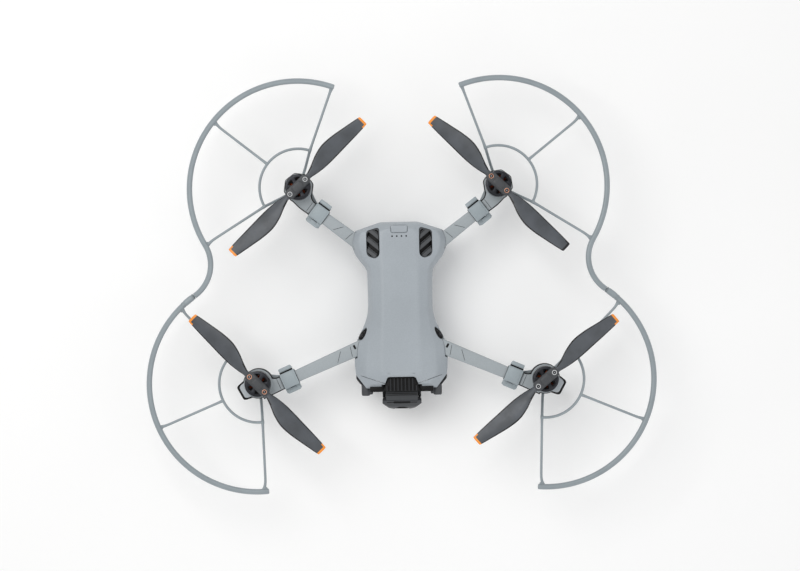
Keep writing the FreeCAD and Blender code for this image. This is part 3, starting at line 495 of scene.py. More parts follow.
# near-black blade colour, used as painted shade along the blade edges and over one tip out of the light
BLADE_PAINTED_SHADE = blade_plastic("blade_painted_shade", srgb(16, 16, 18), srgb(24, 24, 27))
ORANGE = plastic("orange_tip", srgb(240, 146, 48), rough=0.42, grain=1500.0, wear_and_highlight=0.04)
BELL = machined("bell_anodised", srgb(52, 53, 57), 0.36)
BELL_RIM = machined("bell_rim", srgb(120, 120, 126), 0.28)
COPPER = copper_wire("copper_wire")
IRON = machined("stator_iron", srgb(70, 70, 72), 0.4)
STEEL = machined("screw_steel", srgb(196, 198, 202), 0.24)
COPPER_RING = machined("ring_copper", srgb(232, 176, 150), 0.3)
WHITE_RING = plastic("ring_white", srgb(206, 208, 210), rough=0.34, grain=1200.0, wear_and_highlight=0.0)
LENS = lens_glass("lens_glass", srgb(5, 5, 9), srgb(22, 18, 40))
BOARD = circuit("circuit_board")
BATTERY = plastic("battery_grey", srgb(146, 152, 157), rough=0.46, grain=1300.0)
GOLD = machined("contact_gold", srgb(214, 170, 92), 0.3)


# ------------------------------------------------------------------ body
# half outlines in plan, rear to nose, point for point: the side wall, the shoulder and the flat top
SIDE_LINE = [
    (14.9, 48.7), (35.4, 41.8), (38.4, 33.0), (35.0, 23.0), (25.8, 11.0), (25.3, -21.6),
    (28.3, -31.6), (34.6, -44.0), (36.8, -51.5), (36.6, -66.5), (35.4, -74.6), (28.8, -82.6), (15.5, -82.6),
]
SHOULDER_LINE = [
    (14.4, 47.2), (30.5, 41.0), (33.0, 33.0), (30.5, 23.4), (22.6, 11.4), (21.8, -21.6),
    (22.8, -30.6), (25.2, -42.5), (26.6, -50.5), (28.2, -66.0), (27.4, -72.4), (23.0, -78.8), (14.8, -78.8),
]
TOP_LINE = [
    (11.5, 43.0), (13.4, 39.5), (13.8, 33.0), (14.0, 23.4), (14.2, 11.4), (14.4, -21.6),
    (14.6, -30.6), (15.0, -42.5), (15.2, -50.5), (15.4, -64.0), (15.0, -69.5), (14.0, -72.0), (12.6, -72.0),
]
CORNER_REACH = [2.5, 2.4, 4.0, 3.0, 3.5, 8.0, 5.0, 4.5, 3.5, 4.0, 2.2, 1.8, 1.0]  # how far each corner rounds


def whole_ring(half, z):
    return [(x, y, z) for x, y in half] + [(-x, y, z) for x, y in reversed(half)]


def skin(levels, crease, name, mat, thick=1.5, lower=0.0):
    """A smooth shell through half outlines at rising heights, closed over the middle line.
    With no thickness it is the full solid, lowered a little."""
    reach = CORNER_REACH + CORNER_REACH[::-1]
    rings = [filleted(whole_ring(half, z - lower), reach, 4) for z, half in levels]
    last = rings[-1]
    end_z = levels[-1][0] - lower
    rings.append([(0.0, point[1], end_z) for point in last])
    columns = [filleted([ring[i] for ring in rings], crease, 4, closed=False) for i in range(len(last))]
    b = Builder()
    n = len(columns)
    high = len(columns[0])
    b.verts = [p for column in columns for p in column]
    for i in range(n):
        j = (i + 1) % n
        for k in range(high - 1):
            b.faces.append((i * high + k, j * high + k, j * high + k + 1, i * high + k + 1))
            b.mats.append(0)
    if not thick:
        b.faces.append(tuple(i * high for i in range(n)))
        b.mats.append(0)
    obj = b.object(name, [mat] if mat else [], sharp=math.radians(50))
    if thick:
        wall = obj.modifiers.new("wall", "SOLIDIFY")
        wall.thickness, wall.offset = thick * MM, -1
        applied(obj)
    return obj


def hinge_slot(end, width):
    b = Builder()
    b.place = standing(HINGES[end], heading(HINGES[end], CLIPS[end]))
    b.slab(filleted(rect(-7.2, 34, -width / 2, width / 2), [6, 0, 0, 6], 6), ARM_LOW - 0.4, ARM_TOP + 0.5)
    return b


VENT = [(15.6, 24.0), (16.4, 21.6), (19.4, 19.8), (24.3, 21.6), (25.9, 24.0), (25.9, 40.4), (24.6, 42.0),
        (17.0, 44.2), (15.6, 42.8)]
VENT_MIDDLE = (20.75, 32.0)
HOOD_LEVELS = [(SPLIT_Z, SIDE_LINE), (44.0, SIDE_LINE), (51.0, SHOULDER_LINE), (BODY_TOP, TOP_LINE)]
HOOD_CREASE = [0, 1.3, 1.3, 1.8, 0]
SENSOR_PLACE = (centred(29.9, -39.3, 46.3) @ turned(130)
                @ turned(45, "X"))
OVAL = 0.5                          # how much narrower the shoulder sensor is than a circle
AHEAD = -95                         # cutters for the nose start here, clear of everything
NOSE_CORNER = rect(20.8, 45, AHEAD, -72.0)
SENSOR_X, SENSOR_Z = 28.4, 40.0     # the larger barrel of each front pair
BARREL_STEP = 3.6                   # and how much nearer the middle the smaller one is
LIGHT_PITCH = 3.7
BUTTON_Y = (span("power_button")[0][1] + span("power_button")[1][1]) / 2
LIGHTS_Y = (span("status_lights")[0][1] + span("status_lights")[1][1]) / 2


def oval_cutter():
    """The shoulder sensor's oval, standing square to the slope of the left shoulder."""
    b = Builder()
    b.place = SENSOR_PLACE
    b.slab([(x, y * OVAL) for x, y in circle((0, 0), 5.2 + 0.3, 32)], -4, 6)
    return b


def make_hood():
    hood = skin(HOOD_LEVELS, HOOD_CREASE, "hood", SHELL)
    front_cap = [(11.0, -79.4), (15.4, -77.9), (29.4, -73.2), (40, -70.0)]
    seam = front_cap + [(x + 0.05, y + 0.34) for x, y in reversed(front_cap)]
    for side in SIDES.values():
        flip = side < 0
        for end, width in (("front", 13.0), ("rear", 12.4)):
            carve(hood, scratch(hinge_slot(end, width), flip))
        cut(hood, filleted(VENT, 1.6, 3), 40, 62, flip)
        carve(hood, scratch(oval_cutter(), flip))
        cut(hood, NOSE_CORNER, 30, 36.0, flip)
        for x, radius in ((SENSOR_X, 3.6), (SENSOR_X - BARREL_STEP, 2.1)):
            b = Builder()
            b.tube([(x, -79, SENSOR_Z), (x, AHEAD, SENSOR_Z)], radius, 32)
            carve(hood, scratch(b, flip))
        cut(hood, [(27.0, AHEAD), (46, AHEAD), (46, -71.0), (36.4, -71.0), (27.0, -83.4)], 30, 70, flip)
        cut(hood, seam, 46.8, 70, flip)
    notch = [(-17.4, -90), (17.4, -90), (15.4, -85), (11.8, -75.6), (10.9, -73.3), (-10.9, -73.3),
             (-11.8, -75.6), (-15.4, -85)]
    cut(hood, filleted(notch, [0, 0, 2, 2, 2.2, 2.2, 2, 2], 5), 40, 70)
    cut(hood, rect(-20.8, 20.8, AHEAD, -70.0), 30, 43.6)
    cut(hood, rect(-15.9, 15.9, AHEAD, -70.0), 40, 49.6)
    cut(hood, rect(-21.3, 21.3, 40, 60), 15, 41.3)
    cut(hood, rounded_rect(13.4, 6.2, 2.0, 5), 48, 62, at=(0, BUTTON_Y))
    for i in range(4):
        cut(hood, circle(((i - 1.5) * LIGHT_PITCH, LIGHTS_Y), 0.62, 16), 48, 62)
    soften(hood, math.radians(30))
    settle(hood, "airframe", ["upper_shell"])


def make_belly():
    narrow = [(x * 0.80, 2 + (y - 2) * 0.93) for x, y in SIDE_LINE]
    middle = [(x * 0.93, y * 0.985) for x, y in SIDE_LINE]
    belly = skin([(SPLIT_Z, SIDE_LINE), (16.0, middle), (10.0, narrow)], [0, 4.5, 3.0, 0], "belly", SHELL)
    holes = []
    for side in SIDES.values():
        flip = side < 0
        holes += [(NOSE_CORNER, 19.8, 43.0, flip), (circle((10, -30), 4.1, 32), 5, 20, flip)]
        for i in range(5):
            y = -2.0 + 4.5 * i
            holes.append((filleted(rect(4, 14, y, y + 1.8), 0.85, 4), 5, 20, flip))
    holes += [(rect(-20.87, 20.87, AHEAD, -64.05), 0, 49.6), (rect(-21.3, 21.3, 42, 60), 15.2, 41.3),
              (circle((0, -44), 3.3, 32), 5, 20)]
    for hole in holes:
        cut(belly, *hole, solver="MANIFOLD")
    soften(belly, math.radians(30))
    settle(belly, "airframe", ["lower_shell"])
    skids = Builder()
    for side in SIDES.values():
        rings = []
        for i in range(9):
            k = i / 8
            outline = rounded_rect(5.6 + 6.0 * k ** 1.6, 17.6 + 9.0 * k ** 1.6, 2.0, 4)
            rings.append([(side * (17.0 + 0.6 * k + u), 33.0 + v - 0.8 * k, 2.0 + 10.4 * k) for u,
                          v in outline])
        skids.loft(rings)
    settle(skids.object("belly_skids", [SHELL]), "airframe")


def make_vents():
    """Rim and slanted louvres of both rear vents, trimmed by the shoulder's own surface. The rim and a floor
    under the louvres are black, as painted shade in the vent's recess.
    """
    b = Builder()

    def drop(x):
        return BODY_TOP - 0.2 - (x - 14.0) * 0.266

    def around(kx, ky):
        mx, my = VENT_MIDDLE
        return filleted([(mx + (x - mx) * kx, my + (y - my) * ky) for x, y in VENT], 1.6, 4)

    def lying(line, below, over=None):
        """A line laid under the shoulder, at the depth found where another line runs."""
        return [(side * x, y, drop(o[0]) - below) for (x, y), o in zip(line, over or line)]

    outer, inner = around(0.955, 0.975), around(0.76, 0.89)
    lip = [(o[0] * 0.7 + i[0] * 0.3, o[1] * 0.7 + i[1] * 0.3) for o, i in zip(outer, inner)]
    slat = [(-1.9, 0.6), (-1.7, 0.9), (0.9, 0.6), (1.05, -0.4), (1.6, -0.4), (1.65, 0.3), (2.0, 0.25),
            (2.15, -0.6), (-1.9, -0.6)]
    for side in SIDES.values():
        # the rim is black: painted shade on the vent's inner walls
        rings = [lying(outer, 3.2), lying(outer, 0.3), lying(lip, 0.3, outer), lying(inner, 1.3),
                 lying(inner, 3.2)]
        b.loft(rings + [rings[0]], 2, caps=False)
        profile = [(-a, c) for a, c in reversed(slat)] if side > 0 else slat
        for middle_y in (23.6, 32.2, 40.8):
            b.sweep([(side * x, middle_y + (x - VENT_MIDDLE[0]) * 0.84, drop(x) - 1.5)
                     for x in (14.5, 17.0, 19.5, 22.0, 24.5, 27.0)], profile, 0, flat=True)
        # black floor under the louvres: painted shade in the vent's recess
        floor = lying(around(0.95, 0.97), 3.4)
        b.loft([[(x, y, z - 0.6) for x, y, z in floor], floor], 2)
    obj = b.object("vent_slats", [VENT_GREY, DARK, BLACK])
    window = Builder()
    for side in SIDES.values():
        window.loft([[(side * x, y, z) for x, y in outer] for z in (44.0, 60.0)])
    carve(obj, scratch(window), "INTERSECT", own=True)
    carve(obj, skin(HOOD_LEVELS, HOOD_CREASE, "scratch", None, thick=0, lower=0.3), "INTERSECT", own=True)
    soften(obj)
    settle(obj, "airframe", ["vent_louvres"])


# ------------------------------------------------------------------ trim on the body
def make_nose():
    """Dark caps beside the gimbal, the bars before the hood's edge, and the gimbal bay's lining."""
    b = Builder()
    for side in SIDES.values():
        b.place = flipped(side)
        cap = [(21.0, -72.3), (21.0, -83.4), (29.2, -83.4), (36.0, -75.4), (36.0, -72.3)]
        b.slab(filleted(cap, [0, 0.8, 1.8, 1.8, 0], 5), 20.0, 35.6, 0.9, 4)
        b.slab(filleted(rect(13.9, 25.0, -85.3, -79.4), 0.5, 3), 44.7, 46.9, 0.5, mat=1)
        b.bar(1.5, 2.2, 33.6, 46.4, 0.4, 0.3, 1, at=(21.85, -84.2))
        for k in range(4):
            b.bar(6.4, 0.6, 22.4 + 3.2 * k, 23.9 + 3.2 * k, 0.25, 0.25, 1, at=(25.4, -83.1))
    b.place = HOME
    for wide, deep, z0, z1, at in ((41.4, 0.8, 11.6, 43.4, (0, -62.6)), (31.4, 0.8, 43.0, 49.3, (0, -62.6)),
                                   (0.8, 9.6, 11.6, 43.4, (20.3, -67.4)),
                                   (0.8, 9.6, 11.6, 43.4, (-20.3, -67.4))):
        b.bar(wide, deep, z0, z1, 0.2, 0.1, at=at)
    settle(b.object("nose_caps", [DARK, BLACK]), "airframe", ["nose_panel"])


def make_front_sensors():
    x, z = SENSOR_X, SENSOR_Z
    barrels, glass = Builder(), Builder()
    for side in SIDES.values():
        for at, radius, tip in ((x, 3.4, -88.4), (x - BARREL_STEP, 1.9, -87.4)):
            barrels.place = glass.place = centred(side * at, 0, z) @ AXIS_Y
            barrels.lathe([(0.01, -80), (radius, -80), (radius, tip + 1.3), (radius * 0.96, tip + 0.7),
                           (radius * 0.86, tip + 0.2), (radius * 0.74, tip), (radius * 0.66, tip + 0.5),
                           (radius * 0.66, tip + 0.9), (0.01, tip + 0.9)], count=40)
            barrels.lathe([(radius - 0.05, -82.6), (radius, -82.4), (radius - 0.05, -82.2)], count=40, mat=1)
            glass.lathe([(0.01, tip + 0.85), (radius * 0.64, tip + 0.85), (radius * 0.6, tip + 0.55),
                         (radius * 0.4, tip + 0.3), (0.01, tip + 0.2)], count=32)
        barrels.place = flipped(side)
        barrels.slab(filleted(rect(x - 4.4, x + 1, -84.2, -79), 0.5, 3), z - 1.7, z + 1.5, 0.3)
    settle(barrels.object("front_sensor_barrels", [MID_DARK, BLACK]), "airframe",
           ["front_sensors"])
    settle(glass.object("front_sensor_glass", [LENS]), "airframe", ["front_lenses"])


def make_shoulder_sensors():
    for name, side in SIDES.items():
        b = Builder()
        b.place = SENSOR_PLACE
        b.slab([(x, y * OVAL) for x, y in circle((0, 0), 5.15, 40)], -1.35, -0.05, 0.3, 3)
        for x, radius, bevel in ((-1.7, 1.5, 0.25), (1.9, 0.8, 0.2)):
            b.slab(circle((x, 0), radius, 24), -1.0, 0.0, bevel, 3, mat=1)
        obj = b.object(f"shoulder_sensor_{name}", [WINDOW, LENS], mirror=side < 0)
        settle(obj, "airframe", ["shoulder_sensors"])


def make_lights_and_button():
    low, high = span("status_lights")
    b = Builder()
    for i in range(4):
        b.lathe([(0.01, low[2]), (0.36, low[2]), (0.36, low[2] + 0.6), (0.5, low[2] + 0.8),
                 (0.5, high[2] - 0.15),
                 (0.38, high[2] - 0.04), (0.01, high[2])], ((i - 1.5) * LIGHT_PITCH, LIGHTS_Y), 24)
    settle(b.object("status_light_pipes", [WINDOW]), "airframe", ["status_lights"])
    low, high = span("power_button")
    top = high[2]
    b = Builder()
    b.place = centred(0, BUTTON_Y, 0)
    rings = []
    for shrink, under in ((0.6, 2.6), (0.0, 2.2), (0.0, 0.35), (0.15, 0.1), (0.4, 0.02), (1.2, 0.08),
                          (2.0, 0.14)):
        cap = rounded_rect(high[0] - low[0] - 2 * shrink, high[1] - low[1] - 2 * shrink, 1.5, 6)
        rings.append([(x, y, top - under) for x, y in cap])
    b.loft(rings)
    b.bar(4.0, 3.0, low[2], top - 2.4, 0.4, 0.2, 1)
    settle(b.object("power_button_cap", [SHELL, DARK]), "power_button", ["power_button"])


def make_battery():
    low, high = span("battery_pack")
    x = high[0]
    case = [(-x, -37.4), (x, -37.4), (x, 46.8), (15, high[1]), (-15, high[1]), (-x, 46.8)]
    b = Builder()
    b.slab(filleted(case, [1.5, 1.5, 1.6, 2.4, 2.4, 1.6], 5), low[2], high[2], 0.9, 4)
    obj = b.object("battery_case", [BATTERY])
    for side in SIDES.values():
        cut(obj, rect(13.0, 25, 41.7, 44.5), 24.7, 31.3, side < 0)
        cut(obj, rect(13.0, 18.6, 44.0, 52), 25.2, 30.8, side < 0)
    cut(obj, filleted(rect(-8, 8, -40, -36.5), 0.5, 3), 22, 26)
    cut(obj, filleted(rect(-9, 9, 47.4, 52), 0.5, 3), 34.0, 38.0)
    soften(obj)
    settle(obj, "battery", ["battery_pack"])
    trim = Builder()
    for k in range(7):
        trim.bar(1.1, 1.6, 22.4, 25.6, 0.2, 0.15, at=(-6 + 2.0 * k, -36.0))
    settle(trim.object("battery_contacts", [GOLD]), "battery")
    for name, side in SIDES.items():
        latch = Builder()
        hook = [(15.6, 42.1), (21.0, 42.1), (21.0, 43.2), (20.2, 44.1), (15.6, 44.1)]
        latch.slab(filleted(hook, 0.3, 3), 25.1, 30.9, 0.25)
        latch.slab(filleted(rect(15.6, 18.1, 44.0, 47.9), 0.4, 3), 25.6, 30.4, 0.35)
        for k in range(4):
            latch.bar(0.5, 0.9, 26.05 + 1.15 * k, 26.65 + 1.15 * k, 0.15, 0.15, at=(18.2, 47.45))
        obj = latch.object(f"latch_{name}", [MID_DARK], mirror=side < 0)
        settle(obj, f"battery_latch_{name}", [f"battery_latch_{name}"])


def make_belly_sensors():
    z = span("belly_sensors")[0][2]
    housing, glass = Builder(), Builder()
    for x, y, r in ((10, -30, 3.9), (-10, -30, 3.9), (0, -44, 3.1)):
        housing.lathe([(0.01, z + 2.8), (r, z + 2.8), (r, z + 0.3), (r - 0.3, z), (r * 0.74, z),
                       (r * 0.66, z + 0.5), (r * 0.66, z + 0.9), (0.01, z + 0.9)], (x, y), 40)
        glass.lathe([(0.01, z + 0.85), (r * 0.64, z + 0.85), (r * 0.58, z + 0.5), (r * 0.3, z + 0.2),
                     (0.01, z + 0.15)], (x, y), 32)
    settle(housing.object("belly_sensor_rings", [BLACK]), "airframe", ["belly_sensors"])
    settle(glass.object("belly_sensor_glass", [LENS]), "airframe")


def make_pins_and_feet():
    z0, z1 = ARM_LOW - 6.0, ARM_TOP + 1.2
    hinge_pin = [(0.01, z0), (1.2, z0), (1.48, z0 + 0.4), (1.48, z1 - 0.4), (1.2, z1), (0.6, z1),
                 (0.5, z1 - 0.4), (0.01, z1 - 0.4)]
    pins = Builder()
    for side in SIDES.values():
        for hinge in HINGES.values():
            pins.lathe(hinge_pin, (side * hinge[0], hinge[1]), 24)
        for end in ("front", "rear"):
            clip, reach = CLIPS[end], heading(HINGES[end], CLIPS[end])
            a, c = polar(clip, STRAP_HALF - 0.2, reach), polar(clip, -STRAP_HALF + 0.2, reach)
            out = Vector(polar((0, 0), PIN_OUT, reach - 90))
            path = [(side * (a[0] * (1 - t) + c[0] * t + out.x), a[1] * (1 - t) + c[1] * t + out.y, PIN_Z)
                    for t in (0, 0.02, 0.98, 1)]
            pins.tube(path, [0.4, 0.6, 0.6, 0.4], 16)
    settle(pins.object("pins", [STEEL]), "airframe", ["hinge_pins"])
    leg_at = polar(FRONT_MOTOR, 13.2, LEG_WAY)
    legs, pads = Builder(), Builder()
    for side in SIDES.values():
        legs.place = pads.place = flipped(side) @ standing(leg_at, LEG_WAY)
        legs.loft([[(x, y, z) for x, y in rounded_rect(wide, long, 1.4, 5)] for z, long, wide in (
            (2.0, 5.9, 2.9), (6.0, 6.1, 3.1), (12.0, 6.4, 3.4), (20.0, 7.1, 3.8), (28.0, 8.0, 4.4),
            (32.0, 8.6, 4.8), (ARM_LOW, 9.3, 5.1))])
        legs.bar(0.5, 3.2, 14, 26, 0.2, 0.2, at=(2.0, 0))
        pads.slab(rounded_rect(4.4, 7.4, 1.5, 5), 0.0, 1.95, 0.5, 4)
        pads.place = flipped(side) @ centred(17, 33, 0)
        pads.slab(rounded_rect(5.6, 17.0, 2.0, 5), 0.0, 1.95, 0.5, 4)
        for k in range(6):
            pads.bar(4.4, 0.9, 0.0, 0.6, 0.3, 0.2, at=(0, -6 + 2.4 * k))
    settle(legs.object("antenna_legs", [ARM]), "airframe", ["front_legs"])
    settle(pads.object("rubber_feet", [RUBBER]), "airframe", ["foot_pads"])


# ------------------------------------------------------------------ arms
LEG_WAY = -29.0
STRAP_HALF = 6.2
PIN_OUT = 8.1
PIN_Z = 39.6
BED_TOP = 40.0
NECK = {
    # plan outlines of an arm's neck, in the arm's own axes measured from its clip: outwards, then to the rear
    "front": [(6.4, -4.6), (14.0, -4.9), (24.0, -5.2), (24.0, 14.0), (15.6, 9.6), (12.8, 6.2), (9.6, 4.6),
              (6.4, 4.6)],
    "rear": [(6.4, -4.6), (15.0, -4.9), (24.0, -3.6), (20.0, 16.0), (15.6, 10.4), (13.4, 6.8), (10.0, 4.7),
             (6.4, 4.6)],
}


def arm_place(end):
    """A frame at an arm's clip, its x running outwards along the arm."""
    return standing(CLIPS[end], heading(HINGES[end], CLIPS[end]))


def leg_shelf(tip, wide_in, wide_out):
    way = math.radians(LEG_WAY)
    along, across = Vector((math.cos(way), math.sin(way))), Vector((-math.sin(way), math.cos(way)))
    half = [(2.0, wide_in), (tip - 1.8, wide_out + 0.4), (tip, wide_out - 0.8)]
    corners = [(u, -v) for u, v in half] + half[::-1]
    return [tuple(Vector(FRONT_MOTOR) + along * u + across * v) for u, v in corners]


def make_arm(end, name, side):
    front = end == "front"
    hinge, clip, motor = HINGES[end], CLIPS[end], MOTORS[end]
    place = arm_place(end)
    length = math.hypot(clip[0] - hinge[0], clip[1] - hinge[1])
    root = 5.7 if front else 5.4
    b = Builder()
    b.place = place
    bar = [(-length, -root), (7.6, -4.5), (7.6, 4.5), (-length, root)]
    b.slab(filleted(bar, 2.6, 6), ARM_LOW, ARM_TOP, 1.3, 5, low_bevel=1.0)
    # thin dark lines where the moulded halves meet, near the root and past the clip
    for wide, out, turn in ((2 * root - 2.4, 20.0, 38), (2 * root - 3.4, 9.5, 12)):
        b.bar(0.32, wide, ARM_TOP - 0.4, ARM_TOP + 0.02, 0.12, 0.0, 1, at=(-length + out, 0), turn=turn)
    b.place = HOME
    b.slab(circle(hinge, 6.1, 40), ARM_LOW + 0.1, ARM_TOP - 0.1, 0.9, 4)
    if front:
        # black dot at the front hinge: painted shadow of the hinge's gap
        b.bar(3.6, 1.7, ARM_TOP - 2.0, ARM_TOP + 0.06, 0.8, 0.05, 1, at=(36.7, -49.6), turn=62)
    b.place = place
    neck = filleted(NECK[end], [0.5, 3, 0, 0, 2.5, 3, 3, 0.5], 5)
    b.slab(neck, ARM_LOW + 1.0, ARM_TOP - 0.12, 0.7, 4)
    # black band a little wider than the neck, under it: painted shade along the neck's lower edge
    b.slab(grown(neck, 0.85), ARM_LOW + 0.2, ARM_TOP - 1.9, 0.3, 2, mat=1)
    b.bar(0.32, 8.4, ARM_TOP - 0.6, ARM_TOP - 0.1, 0.12, 0.0, 1, at=(9.3, 0))
    b.place = HOME
    if front:
        pod, under = circle(motor, 11.3, 56), circle(motor, 11.98, 56)
        shelf, trim = leg_shelf(14.7, 7.4, 5.2), leg_shelf(16.5, 8.7, 6.2)
        b.slab(filleted(shelf, [0, 1.2, 1.0, 1.0, 1.2, 0], 3), ARM_LOW + 0.6, POD_TOP - 1.4, 0.5, 3, mat=2)
        # black band round the leg shelf, under it: painted shade along the shelf's lower edge
        b.slab(filleted(trim, [0, 1.4, 1.2, 1.2, 1.4, 0], 3), ARM_LOW + 0.3, POD_TOP - 2.5, 0.4, 3, mat=1)
    else:
        pod, under = (filleted(circle(motor, radius, 8, heading(clip, motor) + 22.5), 1.4, 4)
                      for radius in (11.5, 12.2))
    # black ring a little wider than the pod, under it: painted shade along the pod's lower edge
    b.slab(under, ARM_LOW + 0.2, POD_TOP - 1.6, 0.8, 3, mat=1)
    b.slab(pod, ARM_LOW + 2.0, POD_TOP - 0.05, 0.7, 4, low_bevel=0.2)
    for k in range(10):
        b.bar(3.2, 1.1, ARM_LOW, ARM_LOW + 0.6, 0.5, 0.1, 1, at=polar(motor, 5.6, 36 * k), turn=36 * k)
    obj = b.object(f"{end}_{name}_arm_shell", [ARM, BLACK, LEDGE], mirror=side < 0)
    settle(obj, "airframe", [f"{end}_{name}_arm"])


# ------------------------------------------------------------------ guards
FRONT_RING = (FRONT_MOTOR[0] + 0.4, FRONT_MOTOR[1])
REAR_RING = (REAR_MOTOR[0] + 0.6, REAR_MOTOR[1] - 1.3)


def bend_centre():
    dx, dy = FRONT_RING[0] - REAR_RING[0], FRONT_RING[1] - REAR_RING[1]
    gap = math.hypot(dx, dy)
    out = math.sqrt((GUARD_RADIUS + BEND_RADIUS) ** 2 - (gap / 2) ** 2)
    return ((FRONT_RING[0] + REAR_RING[0]) / 2 - dy / gap * out,
            (FRONT_RING[1] + REAR_RING[1]) / 2 + dx / gap * out)


BEND_AT = bend_centre()
# each spoke: heading at the inner hoop, heading at the rim, how far it curls aside at the rim
SPOKES = {
    "rear": ((-28.5, -30.2, -0.9), (38.0, 39.2, 0.9), (108.5, 109.6, 0.0)),
    "front": ((-96.0, -93.6, 1.2), (-25.0, -23.6, 0.5), (44.0, 45.0, 1.0)),
}


def rim_shape(wide, tall, count=36, groove=0.22, power=2.6, ridge=0.35):
    """A flattened oval with a shallow line along its top and another underneath."""
    points = []
    for i in range(count):
        a = 2 * math.pi * (i + 0.5) / count
        c, s = math.cos(a), math.sin(a)
        x = wide * math.copysign(abs(c) ** (2 / power), c)
        z = tall * math.copysign(abs(s) ** (2 / power), s)
        if abs(x / wide - ridge) < 0.09:
            z -= math.copysign(groove, s)
        points.append((x, z))
    return points


def scaled(shape, k):
    return [(x * k, z * k) for x, z in shape]


def turned_over(shape):
    """A profile seen from its path's other end."""
    return [(-x, z) for x, z in reversed(shape)]


def knuckle(half):
    """Section of a clip hinge's barrel, this far to either side of its middle."""
    out = [(0.7, half), (1.5, half), (1.65, half - 0.2)]
    return [(r, -z) for r, z in out] + out[::-1] + [(0.7, -half)]


def rounded_ends(shape, path_len, first=True, last=True):
    """The profile at each point of a path whose outer three points close it off."""
    shapes = [shape] * path_len
    for k, i in ((0.55, 0), (0.86, 1), (0.97, 2)):
        if first:
            shapes[i] = scaled(shape, k)
        if last:
            shapes[-1 - i] = scaled(shape, k)
    return shapes


def rim_path(centre, radius, start, end, z, first=True, last=True):
    """Points along an arc, closer together where its ends are rounded off."""
    n = max(6, int(abs(end - start) / 1.5))
    angles = [start + (end - start) * i / n for i in range(n + 1)]
    tiny = math.degrees(0.35 / radius) * math.copysign(1, end - start)
    if first:
        angles = [angles[0], angles[0] + tiny * 0.5, angles[0] + tiny * 1.6] + angles[1:]
    if last:
        angles = angles[:-1] + [angles[-1] - tiny * 1.6, angles[-1] - tiny * 0.5, angles[-1]]
    return [(*polar(centre, radius, a), z) for a in angles]


def rim_arc(b, centre, radius, start, end, shape, z=GUARD_Z, first=True, last=True):
    if end < start:
        shape = turned_over(shape)
    path = rim_path(centre, radius, start, end, z, first=first, last=last)
    b.sweep(path, rounded_ends(shape, len(path), first, last), flat=True)


def spoke_path(motor, ring, spoke, low):
    """Centre line and radii of one spoke, flared and curled where it meets the rim."""
    way, end_way, curl = spoke
    far, near = Vector(polar(ring, GUARD_RADIUS - 0.8, end_way)), Vector(polar(motor, INNER_RADIUS, way))
    aside = (near - far).normalized()
    aside = Vector((aside.y, -aside.x))
    path, radii = [], []
    for t in (0, 0.015, 0.03, 0.05, 0.08, 0.12, 0.18, 0.3, 0.5, 0.7, 0.9, 0.96, 1.0):
        bow = curl * max(0.0, 1 - t / 0.16) ** 2 * 1.6
        at = far + (near - far) * t + aside * bow
        path.append((at.x, at.y, HOOP_Z + 0.6 * (1 - t)))
        radii.append(1.0 + 0.9 * math.exp(-t * 26) + 0.4 * math.exp(-(1 - t) * 26))
    if low:
        for r, z in ((28.4, 46.9), (24.0, 42.4), (19.4, 37.8), (17.2, 35.8), (15.4, 35.0), (12.0, 34.6),
                     (8.0, 34.3)):
            path.append((*polar(motor, r, way), z))
            radii.append(1.12)
    return path, radii


def make_rim(b, end, spokes):
    """The guard's outer rim: the rear one curls round to a spigot in the front one's sleeve."""
    rim = rim_shape(2.18, 2.64)
    socket = heading(FRONT_RING, BEND_AT)
    if end == "rear":
        rim_arc(b, REAR_RING, GUARD_RADIUS, heading(REAR_RING, BEND_AT), spokes[2][1] + 1.2, rim, first=False)
        rim_arc(b, BEND_AT, BEND_RADIUS, heading(BEND_AT, REAR_RING) % 360,
                heading(BEND_AT, FRONT_RING) % 360, turned_over(rim), first=False, last=False)
        spigot = rim_shape(1.38, 1.85, groove=0.0)
        rim_arc(b, FRONT_RING, GUARD_RADIUS, socket + 0.2, socket - 6.0, spigot, first=False)
        return
    socket -= 0.3
    rim_arc(b, FRONT_RING, GUARD_RADIUS, spokes[0][1] - 1.7, socket - 7.0, rim, last=False)
    sleeve = rim_shape(2.5, 3.0, groove=0.15)
    for start, stop, k in ((8.0, 6.6, 0.96), (6.5, 1.1, 1.0), (1.0, 0.0, 0.96), (7.8, 0.2, 0.9)):
        rim_arc(b, FRONT_RING, GUARD_RADIUS, socket - start, socket - stop, scaled(sleeve, k))


